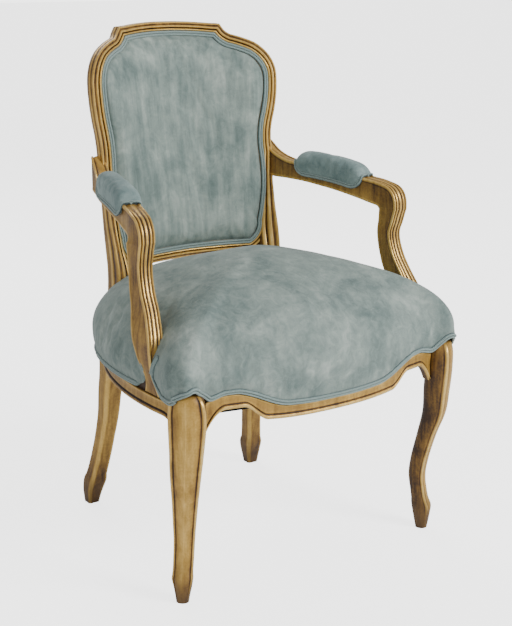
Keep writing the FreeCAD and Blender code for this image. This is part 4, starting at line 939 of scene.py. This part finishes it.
def plan_radii(count):
    """Distance of the seat's plan from its centre at even angles from the rear, through the left side."""
    right = through([list(p) for p in SEAT_PLAN], 6)
    whole = right + [[-x, y] for x, y in right[-2:0:-1]]
    polar = []
    for x, y in whole:
        dx, dy = x - SEAT_CENTRE[0], y - SEAT_CENTRE[1]
        polar.append((math.atan2(dx, -dy) % (2 * math.pi), math.hypot(dx, dy)))
    polar.sort()
    polar = [(polar[-1][0] - 2 * math.pi, polar[-1][1])] + polar + [(polar[0][0] + 2 * math.pi, polar[0][1])]
    radii = []
    index = 0
    for step in range(count):
        angle = 2 * math.pi * step / count
        while polar[index + 1][0] < angle:
            index += 1
        (low, a), (high, b) = polar[index], polar[index + 1]
        radii.append(mix(a, b, (angle - low) / (high - low or 1)))
    return radii


def line_height(points, value):
    for (low, a), (high, b) in zip(points, points[1:]):
        if low <= value <= high:
            return mix(a, b, (value - low) / (high - low))
    return points[-1][1] if value > points[-1][0] else points[0][1]


# The cover's lower edge over a front leg's knee: distance from the middle, height
KNEE_LINE = (
    (235, 388), (247, 383.5), (252, 382.5), (258, 387), (266, 396), (275, 403), (284, 407), (292, 407.5),
    (300, 404.5), (308, 398.5), (318, 390),
)
# The side's welts before and behind the arm's support: y, height
FRONT_LOBE = (
    (-258, 391), (-250, 384.5), (-226, 381.5), (-208, 383), (-190, 390), (-179, 401), (-175.5, 415),
    (-181, 432), (-190, 447),
)
REAR_LOBE = (
    (-117, 442), (-131, 430), (-142, 416), (-144, 401), (-134, 388), (-112, 379), (-68, 376.5), (0, 376.5),
    (80, 376.5), (150, 376.5),
)
# The cover's lower edge along a side, notched at the support: y, height
SIDE_GIMP = (
    (-262, 392), (-250, 383.5), (-226, 380), (-208, 381), (-188, 389), (-177, 400), (-174, 416), (-160, 440),
    (-147, 416), (-145, 400), (-133, 386.5), (-110, 377.5), (-68, 375), (0, 375), (160, 375),
)


def seat_edge(x, y):
    """Height of the seat cover's lower edge at a point of the plan."""
    if y < -262 or (y < -250 and abs(x) < 262):
        reach = abs(x)
        if reach < 240:
            return front_lip(reach) + 4.5
        return line_height(KNEE_LINE, reach)
    if y > 168:
        return mix(375, 384, ease((y - 168) / 30))
    return line_height(SIDE_GIMP, y)


BROW = 412.0
SEAT_RISE = 155.0
SEAT_TILT = 0.022
DOME_HALF = (292, 246)
SEAT_RADII = plan_radii(720)


def dome_height(share):
    """The dome's height as a share of its rise, at a share of the way out to its edge."""
    return (1 - min(share, 1) ** 1.5) ** (1 / 2.48)


def dome_table(count=600):
    """Pairs of reach over the dome and share of the way out to its edge."""
    table = [(0.0, 0.0)]
    length = 0.0
    before = (0.0, SEAT_RISE)
    for step in range(1, count + 1):
        share = math.sin(step / count * math.pi / 2)
        spot = (290 * share, SEAT_RISE * dome_height(share))
        length += math.dist(before, spot)
        table.append((length, share))
        before = spot
    return [(reach / length, share) for reach, share in table]


DOME = dome_table()


def seat_plan(turn):
    """The plan's radius, direction, and outward bulge of the cloth at a turn."""
    exact = turn * len(SEAT_RADII)
    index = int(exact) % len(SEAT_RADII)
    radius = mix(SEAT_RADII[index], SEAT_RADII[(index + 1) % len(SEAT_RADII)], exact - int(exact))
    dx, dy = math.sin(2 * math.pi * turn), -math.cos(2 * math.pi * turn)
    x, y = dx * radius, SEAT_CENTRE[1] + dy * radius
    knee = math.exp(-(((abs(x) - 288) / 30) ** 2) - (((y + 262) / 28) ** 2))
    bulge = mix(mix(7.5, 1.5, knee), 3.5, ease((y - 150) / 50))
    return radius, dx, dy, x, y, bulge


def seat_dome_point(reach, turn):
    radius, dx, dy, _, _, bulge = seat_plan(turn)
    share = line_height(DOME, reach)
    height = dome_height(share)
    rounded = 1 / math.hypot(dx / DOME_HALF[0], dy / DOME_HALF[1])
    far = mix(rounded, radius + bulge, share**0.4) * share
    return dx * far, SEAT_CENTRE[1] + dy * far, BROW + SEAT_RISE * height - SEAT_TILT * height * far * dy


def seat_skirt_point(share, turn):
    radius, dx, dy, x, y, bulge = seat_plan(turn)
    far = radius + mix(bulge, 1.2, 1 - math.cos(share * math.pi / 2))
    return dx * far, SEAT_CENTRE[1] + dy * far, mix(BROW, seat_edge(x, y), share)


def add_folds(item, amount):
    """Pleats and puckers where the seat's cloth is pulled down over its corners and edges."""
    for vert in item.data.vertices:
        x, y, z = vert.co * 1000
        y -= SHIFT
        if z > 520:
            continue
        angle = math.atan2(x, -(y - SEAT_CENTRE[1]))
        fade = ease((500 - z) / 90)
        corner = math.exp(-(((abs(angle) - 0.86) / 0.16) ** 2))
        hug = math.exp(-(((abs(angle) - 1.95) / 0.22) ** 2)) * ease((455 - z) / 60)
        pleat = math.sin(angle * 74 + 1.4 * math.sin(z / 23)) * corner * fade
        small = noise.noise(Vector((angle * 46, z / 60, 3.1))) * ease((430 - z) / 45) * 0.8
        around = noise.noise(Vector((angle * 30, z / 16, 8.7))) * hug
        push = (pleat * 1.5 + small * 0.9 + around * 1.6) * amount
        direction = Vector((x, y - SEAT_CENTRE[1], 0)).normalized()
        vert.co += direction * push / 1000


def add_sag(item, size, depth, seed):
    """A slight unevenness of stuffing under cloth."""
    normals = [vert.normal.copy() for vert in item.data.vertices]
    for vert, normal in zip(item.data.vertices, normals):
        vert.co += normal * noise.noise(vert.co / size + Vector((seed, 0, 0))) * depth


def settle(item, pinned, settings, pressure=1.0):
    """Lets the cloth settle over its stuffing with its edge held."""
    scene = bpy.context.scene
    group = item.vertex_groups.new(name="held")
    for index, weight in pinned.items():
        group.add([index], weight, "REPLACE")
    start = [vert.co.copy() for vert in item.data.vertices]
    cloth = item.modifiers.new("settle", "CLOTH")
    values = cloth.settings
    values.quality = 5
    values.mass = 0.25
    values.tension_stiffness = 22
    values.compression_stiffness = 22
    values.shear_stiffness = 8
    values.bending_stiffness = 0.6
    values.use_pressure = True
    values.uniform_pressure_force = settings.cover_pressure * pressure
    values.shrink_min = -0.012
    values.vertex_group_mass = "held"
    values.effector_weights.gravity = 0
    cloth.collision_settings.use_collision = False
    cloth.point_cache.frame_start = 1
    cloth.point_cache.frame_end = settings.frames
    for step in range(1, settings.frames + 1):
        scene.frame_set(step)
    shaped = item.evaluated_get(bpy.context.evaluated_depsgraph_get())
    ends = [vert.co.copy() for vert in shaped.data.vertices]
    item.modifiers.remove(cloth)
    scene.frame_set(1)
    limit = settings.settle_limit
    for vert, before, after in zip(item.data.vertices, start, ends):
        move = after - before
        if move.length > limit:
            move = move.normalized() * limit
        vert.co = before + move


def smoother(item):
    """One subdivision, applied."""
    modifier = item.modifiers.new("finer", "SUBSURF")
    modifier.levels = 1
    modifier.render_levels = 1
    shaped = item.evaluated_get(bpy.context.evaluated_depsgraph_get())
    data = bpy.data.meshes.new_from_object(shaped)
    item.modifiers.remove(modifier)
    item.data = data


# Double welts

WELT_SINK = 0.4
WELT_GAP = 3.5
WELT_INSET = 5.2


def welt_sections(path, loop=False, width=10.0, height=4.6):
    """Sections of two cords side by side. A path point has its place and the surface's outward direction."""
    sections = []
    last = len(path) - 1
    for index, (spot, outward) in enumerate(path):
        before = path[index - 1][0] if loop or index > 0 else spot
        after = path[(index + 1) % len(path)][0] if loop or index < last else spot
        along = (after - before).normalized()
        across = outward.cross(along).normalized()
        out = along.cross(across).normalized()
        quarter = width / 4
        # The third number is the relief that the welt's colour reads: cord tops lighter as painted highlight,
        # the crease between the cords and the edges darker as painted shade.
        section = [(-2 * quarter, -0.6, -0.4)]
        for centre in (-quarter, quarter):
            for turn in (170, 140, 110, 80, 50, 20):
                angle = math.radians(turn)
                u = centre - quarter * 1.02 * math.cos(math.pi - angle)
                v = height * (0.15 + 0.85 * math.sin(angle))
                section.append((u, v, 1.0 if 50 <= turn <= 140 else 0.45))
            if centre < 0:
                section.append((0.0, height * 0.12, -0.9))
        section.append((2 * quarter, -0.6, -0.4))
        section.append((0.0, -1.2, -0.4))
        ring = []
        for u, v, relief in section:
            point = spot + across * u + out * v
            ring.append((point.x, point.y, point.z, relief))
        sections.append(ring)
    return sections


def mm(vector):
    """A point of a mesh in millimetres before the frame's shift."""
    return Vector((vector.x * 1000, vector.y * 1000 - SHIFT, vector.z * 1000))


def on_surface(tree, spots):
    """Path points laid on a surface, each looked for at its nearest place."""
    path = []
    for spot in spots:
        found, normal, _, _ = tree.find_nearest(metres(spot))
        path.append((mm(found) - normal * WELT_SINK, normal.copy()))
    return path


def eased_path(path, rounds=2):
    """A path whose points and directions are averaged with their neighbours."""
    for _ in range(rounds):
        result = [path[0]]
        for (a, p), (b, q), (c, r) in zip(path, path[1:], path[2:]):
            result.append(((a + b * 2 + c) / 4, (p + q * 2 + r).normalized()))
        result.append(path[-1])
        path = result
    return path


# The elbow rests, measured along the arm and from its top
PAD_FRONT = 47
PAD_REAR = 120
PAD_OUT = 5.5
PAD_WELT_OUT = 5.9
PAD_RISE = 27.0
PAD_LAP = 17
PAD_HELD = 12
PAD_STEPS = 20

# The stage, in metres: a light has its name, place, target, size and power
LIGHTS = (
    ("Key", (1.5, -3.2, 2.5), (0, 0, 0.5), 1.3, 125),
    ("Fill", (-3.0, -1.6, 1.8), (0, 0, 0.5), 2.4, 9),
    ("Rim", (0.6, 3.0, 2.8), (0, 0, 0.7), 2.0, 45),
)
CAMERA_PLACE = (-1.3899, -2.0490, 1.1031)
CAMERA_AIM = (0.01929, -0.01838, 0.43853)
CAMERA_LENS = 75.9
CAMERA_SENSOR = 36
SKY_LIGHT = 0.5
SKY_SEEN = 3.0


# Operators: one for each piece or group

class SceneMaker:
    """What every operator of the chair shares."""

    bl_options = {"REGISTER", "UNDO"}

    def settings(self, context):
        return context.scene.fauteuil

    def execute(self, context):
        self.make(context)
        return {"FINISHED"}


def placed(piece, slot, *nodes, sharp=34):
    """The finished piece, fixed to the chair in place of the nodes that it shows."""
    item = piece.done(slot, sharp)
    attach(item, "root")
    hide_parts(*nodes)
    return item


class FAUTEUIL_OT_materials(SceneMaker, Operator):
    """Makes the finishes and gives them to the frame's hidden pieces"""

    bl_idname = "fauteuil.materials"
    bl_label = "Materials"

    def make(self, context):
        make_materials(self.settings(context).wear)
        record = frame["record"]
        slots = {entry["node"]: entry["material_slot"] for entry in record["subparts"]}
        for name, item in frame["nodes"].items():
            item.data.materials.clear()
            item.data.materials.append(bpy.data.materials[slots[name]])


class FAUTEUIL_OT_legs(SceneMaker, Operator):
    """Builds the four legs with the stiles of the back"""

    bl_idname = "fauteuil.legs"
    bl_label = "Legs"

    def make(self, context):
        for side, turned in SIDES:
            piece = Piece("gilded_front_leg_" + side)
            sections = carved(front_leg())
            piece.sweep(mirror_x(sections) if turned else sections)
            placed(piece, "gilded_wood", "front_leg_" + side)
            piece = Piece("gilded_back_leg_" + side)
            for sections in (carved(back_leg()), carved(stile())):
                piece.sweep(mirror_x(sections) if turned else sections)
            placed(piece, "gilded_wood", "back_leg_" + side)


class FAUTEUIL_OT_back_frame(SceneMaker, Operator):
    """Builds the crest rail and the lower rail of the back"""

    bl_idname = "fauteuil.back_frame"
    bl_label = "Back frame"

    def make(self, context):
        half = [frame_section(station) for station in back_outline(0, 4)]
        piece = Piece("gilded_crest_rail")
        piece.sweep(carved(self.other(half[:0:-1]) + half))
        placed(piece, "gilded_wood", "crest_rail")
        lower = [frame_section(station) for station in back_outline(7, 9)]
        floor = LOWER_RAIL_FLOOR
        lower = [[(x, y, max(z, floor), relief) for x, y, z, relief in section] for section in lower]
        piece = Piece("gilded_lower_back_rail")
        piece.sweep(carved(lower + self.other(lower[-2::-1])))
        placed(piece, "gilded_wood", "lower_back_rail")

    def other(self, sections):
        """Sections of the rail's other half, which go on in the same sweep."""
        return [[(-x, y, z, relief) for x, y, z, relief in section] for section in sections]


class FAUTEUIL_OT_seat_rails(SceneMaker, Operator):
    """Builds the carved seat rails"""

    bl_idname = "fauteuil.seat_rails"
    bl_label = "Seat rails"

    def make(self, context):
        piece = Piece("gilded_front_seat_rail")
        piece.sweep(carved(front_rail()))
        placed(piece, "gilded_wood", "front_seat_rail")
        for side, turned in SIDES:
            piece = Piece("gilded_side_seat_rail_" + side)
            sections = carved(side_rail())
            piece.sweep(mirror_x(sections) if turned else sections)
            placed(piece, "gilded_wood", "side_seat_rail_" + side)


class FAUTEUIL_OT_arms(SceneMaker, Operator):
    """Builds the arms and the supports that hold them"""

    bl_idname = "fauteuil.arms"
    bl_label = "Arms"

    def make(self, context):
        for side, turned in SIDES:
            for node, rows in (("arm_", ARM), ("arm_support_", SUPPORT)):
                piece = Piece("gilded_" + node + side)
                sections = carved(bar_sections(rows, 6))
                piece.sweep(mirror_x(sections) if turned else sections)
                placed(piece, "gilded_wood", node + side)


class FAUTEUIL_OT_seat(SceneMaker, Operator):
    """Builds the domed seat cover and the welt along its edge"""

    bl_idname = "fauteuil.seat"
    bl_label = "Seat"

    def make(self, context):
        settings = self.settings(context)
        piece = Piece("velvet_seat")
        edge = piece.disc(96, seat_dome_point)
        piece.skirt(edge, 9, seat_skirt_point)
        item = piece.done("velvet", UNBROKEN, Vector((0, 0, 1)))
        held = {}
        for vert in item.data.vertices:
            x, y, z = mm(vert.co)
            edge = seat_edge(x, y)
            held[vert.index] = 1.0 if z < edge + 4 else max(0.0, 1 - (z - edge) / 40) * 0.5
        add_sag(item, 0.09, 0.0022, 4.0)
        settle(item, held, settings)
        smoother(item)
        add_folds(item, 1.0)
        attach(item, "root")
        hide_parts("seat_cover", "seat_stuffing")
        tree = BVHTree.FromObject(item, context.evaluated_depsgraph_get())
        self.welts(tree)

    def welts(self, tree):
        front = []
        for x in range(0, 240, 6):
            point, _ = front_point(x)
            front.append((x, point.y - 3, front_lip(x) + 5.2))
        knee = []
        for x, z in KNEE_LINE[1:]:
            y = mix(-268, -299, ease((x - 240) / 45)) if x < 285 else mix(-299, -258, (x - 285) / 33)
            knee.append([x, y, z + 1.5])
        right = front + knee
        whole = [[-x, y, z] for x, y, z in right[:0:-1]] + right
        piece = Piece("seat_welt")
        path = eased_path(on_surface(tree, spaced(whole, WELT_GAP)))
        piece.sweep(welt_sections(path))
        for turned in (1, -1):
            for lobe in (FRONT_LOBE, REAR_LOBE):
                spots = []
                for y, z in spaced(through(lobe, 5), WELT_GAP):
                    found = tree.ray_cast(metres((turned * 400, y, z)), Vector((-turned, 0, 0)))
                    if found[0] is not None:
                        spots.append((mm(found[0]) - found[1] * WELT_SINK, found[1].copy()))
                piece.sweep(welt_sections(eased_path(spots)))
        placed(piece, "welt", "seat_gimp", sharp=WELT_CREASE)


class FAUTEUIL_OT_back(SceneMaker, Operator):
    """Builds the padded back, its outside cover and their welts"""

    bl_idname = "fauteuil.back"
    bl_label = "Back"

    def make(self, context):
        settings = self.settings(context)
        half = back_outline(0, 9, 4)
        outline = half + [(-x, z, -nx, nz, stretch) for x, z, nx, nz, stretch in half[-2:0:-1]]
        self.cover(outline, settings)
        for name, node, base, sign in (
            ("back_welt", "back_gimp", 2.0, 1),
            ("outside_back_welt", "outside_back_gimp", 29.9, -1),
        ):
            path = []
            for x, z, nx, nz, stretch in outline:
                px, pz = x - nx * WELT_INSET * stretch, z - nz * WELT_INSET * stretch
                path.append((Vector((px, bow_y(px, pz) + base, pz)), Vector((0, -sign, 0))))
            piece = Piece(name)
            piece.sweep(welt_sections(path, True, height=4.4 if sign > 0 else 3.6), loop=True)
            placed(piece, "welt", node, sharp=WELT_CREASE)
        piece = Piece("velvet_outside_back")
        piece.disc(48, lambda reach, turn: self.outside_point(outline, reach, turn))
        item = piece.done("velvet_back", UNBROKEN, Vector((0, 1, 0)))
        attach(item, "root")
        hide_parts("outside_back_cover")

    def edge_point(self, outline, turn, inset):
        """A point of the outline moved inwards, at a turn from the middle of its lower edge."""
        exact = ((0.5 - turn) % 1.0) * len(outline)
        index = int(exact) % len(outline)
        following = outline[(index + 1) % len(outline)]
        x, z, nx, nz, stretch = (mix(a, b, exact - int(exact)) for a, b in zip(outline[index], following))
        return x - nx * inset * stretch, z - nz * inset * stretch

    def outside_point(self, outline, reach, turn):
        x, z = self.edge_point(outline, turn, 2)
        x, z = x * reach, mix(BACK_MIDDLE, z, reach)
        return x, bow_y(x, z) + 29.4, z

    def cover_point(self, outline, reach, turn):
        x, z = self.edge_point(outline, turn, 10.3)
        px, pz = x * reach, mix(BACK_MIDDLE, z, reach)
        swell = (1 - min(1, reach) ** 9) ** 0.5
        rise = mix(2.0, -17.5, swell)
        edge = ease((1 - reach) / 0.02)
        pucker = noise.noise(Vector((x / 9, z / 9, 2.0))) * 1.3 * ease((reach - 0.82) / 0.15)
        corner = math.exp(-(((x - 150) / 34) ** 2) - (((z - 550) / 34) ** 2))
        fold = math.sin((x - z) / 3.4) * corner * 1.5 * ease((reach - 0.75) / 0.2)
        return px, bow_y(px, pz) + rise + (pucker + fold) * edge, pz

    def cover(self, outline, settings):
        piece = Piece("velvet_back")
        piece.disc(84, lambda reach, turn: self.cover_point(outline, reach, turn))
        item = piece.done("velvet_back", UNBROKEN, Vector((0, -1, 0)))
        add_sag(item, 0.07, 0.0012, 9.0)
        held = {}
        for vert in item.data.vertices:
            x, y, z = mm(vert.co)
            depth = y - bow_y(x, z)
            held[vert.index] = 1.0 if depth > -1.5 else max(0.0, 1 - (-1.5 - depth) / 7) * 0.4
        settle(item, held, settings, 0.6)
        smoother(item)
        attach(item, "root")
        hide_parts("back_cover", "back_stuffing")


class FAUTEUIL_OT_arm_pads(SceneMaker, Operator):
    """Builds the elbow rests and their welts"""

    bl_idname = "fauteuil.arm_pads"
    bl_label = "Arm pads"

    def stations(self):
        """Places along the arm's top under the pad: x, y, height, the arm's width."""
        rows = through([(*low, *high, width) for low, high, width, _ in ARM[1:7]], 24)
        chosen = [row[3:] for row in rows if -PAD_FRONT <= row[4] <= PAD_REAR]
        return spaced(chosen, 3.2)

    def ring(self, stations, index, out):
        """One section of the pad, from its inner edge over its crown to its outer edge."""
        before = stations[max(index - 1, 0)]
        after = stations[min(index + 1, len(stations) - 1)]
        along = Vector((after[0] - before[0], after[1] - before[1], 0)).normalized()
        across = Vector((-along.y, along.x, 0))
        x, y, top, width = stations[index]
        t = index / (len(stations) - 1)
        end = min(t, 1 - t) * 2
        swell = (1 - (1 - min(1, end * 2.8)) ** 2.3) ** 0.5
        half = (width / 2 + out) * mix(0.72, 1, swell)
        lap = PAD_LAP * swell
        points = []
        for step in range(PAD_STEPS + 1):
            turn = math.pi * (step / PAD_STEPS * 1.24 - 0.12)
            a = math.copysign(abs(math.cos(turn)) ** 0.85, math.cos(turn)) * (1 + 0.12 * math.sin(turn))
            b = math.copysign(abs(math.sin(turn)) ** 0.8, math.sin(turn))
            height = PAD_RISE * swell * b if b > 0 else lap * b / 0.36
            spot = Vector((x, y, top - 1.2)) + across * (half * a) + Vector((0, 0, 1)) * (height - 0.3 * lap)
            points.append((spot.x, spot.y, spot.z, 0.0))
        points.append((x, y, top - 2.5 - lap, 0.0))
        return points

    def make(self, context):
        settings = self.settings(context)
        for side, turned in SIDES:
            stations = self.stations()
            sections = [self.ring(stations, index, PAD_OUT) for index in range(len(stations))]
            if turned:
                sections = mirror_x(sections)
            piece = Piece("velvet_arm_pad_" + side)
            piece.sweep(sections)
            item = piece.done("velvet_pad", UNBROKEN)
            add_sag(item, 0.02, 0.0007, 5.0)
            held = {}
            for vert in item.data.vertices:
                held[vert.index] = 1.0 if vert.co.z < self.edge(stations, vert.co) else 0.0
            settle(item, held, settings, 0.8)
            smoother(item)
            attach(item, "root")
            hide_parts("arm_pad_cover_" + side, "arm_pad_" + side)
            self.welt(stations, side, turned)

    def edge(self, stations, place):
        """Height below which the pad's cloth is held."""
        spot = mm(place)
        nearest = min(stations, key=lambda row: abs(row[1] - spot.y))
        return metres((0, 0, nearest[2] - PAD_HELD)).z

    def welt(self, stations, side, turned):
        left = []
        right = []
        for index in range(len(stations)):
            ring = self.ring(stations, index, PAD_WELT_OUT)
            left.append(Vector(ring[0][:3]))
            right.append(Vector(ring[PAD_STEPS][:3]))
        loop = left + right[::-1]
        middle = [Vector(row[:3]) for row in stations]
        path = []
        for spot in spaced(loop + [loop[0]], 3.4)[:-1]:
            spot = Vector(spot)
            centre = min(middle, key=lambda m: (m - spot).length)
            out = spot - centre
            out.z = 0
            if out.length < 1:
                out = Vector((0, 1 if spot.y > 30 else -1, 0))
            out = (out.normalized() * 1.2 + Vector((0, 0, 0.75))).normalized()
            path.append((spot + Vector((0, 0, 2.6)), out))
        sections = welt_sections(path, True, 8.4, 3.8)
        if turned:
            sections = mirror_x(sections)
        piece = Piece("arm_pad_welt_" + side)
        piece.sweep(sections, loop=True)
        placed(piece, "welt", "arm_pad_gimp_" + side, sharp=WELT_CREASE)


class FAUTEUIL_OT_stage(SceneMaker, Operator):
    """Sets up the pale floor, the soft lights and the camera"""

    bl_idname = "fauteuil.stage"
    bl_label = "Stage"

    def make(self, context):
        scene = context.scene
        mesh = bmesh.new()
        bmesh.ops.create_grid(mesh, x_segments=2, y_segments=2, size=30)
        data = bpy.data.meshes.new("Floor")
        mesh.to_mesh(data)
        mesh.free()
        floor = bpy.data.objects.new("Floor", data)
        scene.collection.objects.link(floor)
        data.materials.append(bpy.data.materials["floor"])
        world = bpy.data.worlds.new("Studio")
        world.use_nodes = True
        background = world.node_tree.nodes["Background"]
        background.inputs[0].default_value = (1.0, 1.0, 1.0, 1.0)
        sky = Wiring(world.node_tree)
        seen = sky.node("ShaderNodeLightPath").outputs["Is Camera Ray"]
        strength = sky.maths("MULTIPLY_ADD", seen, SKY_SEEN)
        strength.node.inputs[2].default_value = SKY_LIGHT
        sky.feed(background.inputs[1], strength)
        scene.world = world
        for name, place, target, size, power in LIGHTS:
            light = bpy.data.lights.new(name, "AREA")
            light.size = size
            light.energy = power
            item = bpy.data.objects.new(name, light)
            item.location = place
            item.rotation_euler = (Vector(target) - Vector(place)).to_track_quat("-Z", "Y").to_euler()
            scene.collection.objects.link(item)
        camera = bpy.data.cameras.new("Camera")
        camera.lens = CAMERA_LENS
        camera.sensor_width = CAMERA_SENSOR
        item = bpy.data.objects.new("Camera", camera)
        shift = Vector((0, SHIFT / 1000, 0))
        item.location = Vector(CAMERA_PLACE) + shift
        aim = Vector(CAMERA_AIM) + shift
        item.rotation_euler = (aim - item.location).to_track_quat("-Z", "Y").to_euler()
        scene.collection.objects.link(item)
        scene.camera = item


class FAUTEUIL_PT_panel(Panel):
    """The chair's buttons in the sidebar"""

    bl_label = "Fauteuil"
    bl_idname = "FAUTEUIL_PT_panel"
    bl_space_type = "VIEW_3D"
    bl_region_type = "UI"
    bl_category = "Fauteuil"

    def draw(self, context):
        settings = context.scene.fauteuil
        for name in ("wear", "cover_pressure", "frames", "settle_limit"):
            self.layout.prop(settings, name)
        for maker in MAKERS:
            self.layout.operator(maker.bl_idname)


MAKERS = (
    FAUTEUIL_OT_materials,
    FAUTEUIL_OT_legs,
    FAUTEUIL_OT_back_frame,
    FAUTEUIL_OT_seat_rails,
    FAUTEUIL_OT_arms,
    FAUTEUIL_OT_seat,
    FAUTEUIL_OT_back,
    FAUTEUIL_OT_arm_pads,
    FAUTEUIL_OT_stage,
)


def register():
    bpy.utils.register_class(FauteuilSettings)
    bpy.types.Scene.fauteuil = bpy.props.PointerProperty(type=FauteuilSettings)
    for item in MAKERS + (FAUTEUIL_PT_panel,):
        bpy.utils.register_class(item)


def unregister():
    for item in reversed(MAKERS + (FAUTEUIL_PT_panel,)):
        bpy.utils.unregister_class(item)
    del bpy.types.Scene.fauteuil
    bpy.utils.unregister_class(FauteuilSettings)


def main():
    register()
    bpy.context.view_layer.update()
    for maker in MAKERS:
        space, _, name = maker.bl_idname.partition(".")
        getattr(getattr(bpy.ops, space), name)()


if __name__ == "__main__":
    main()
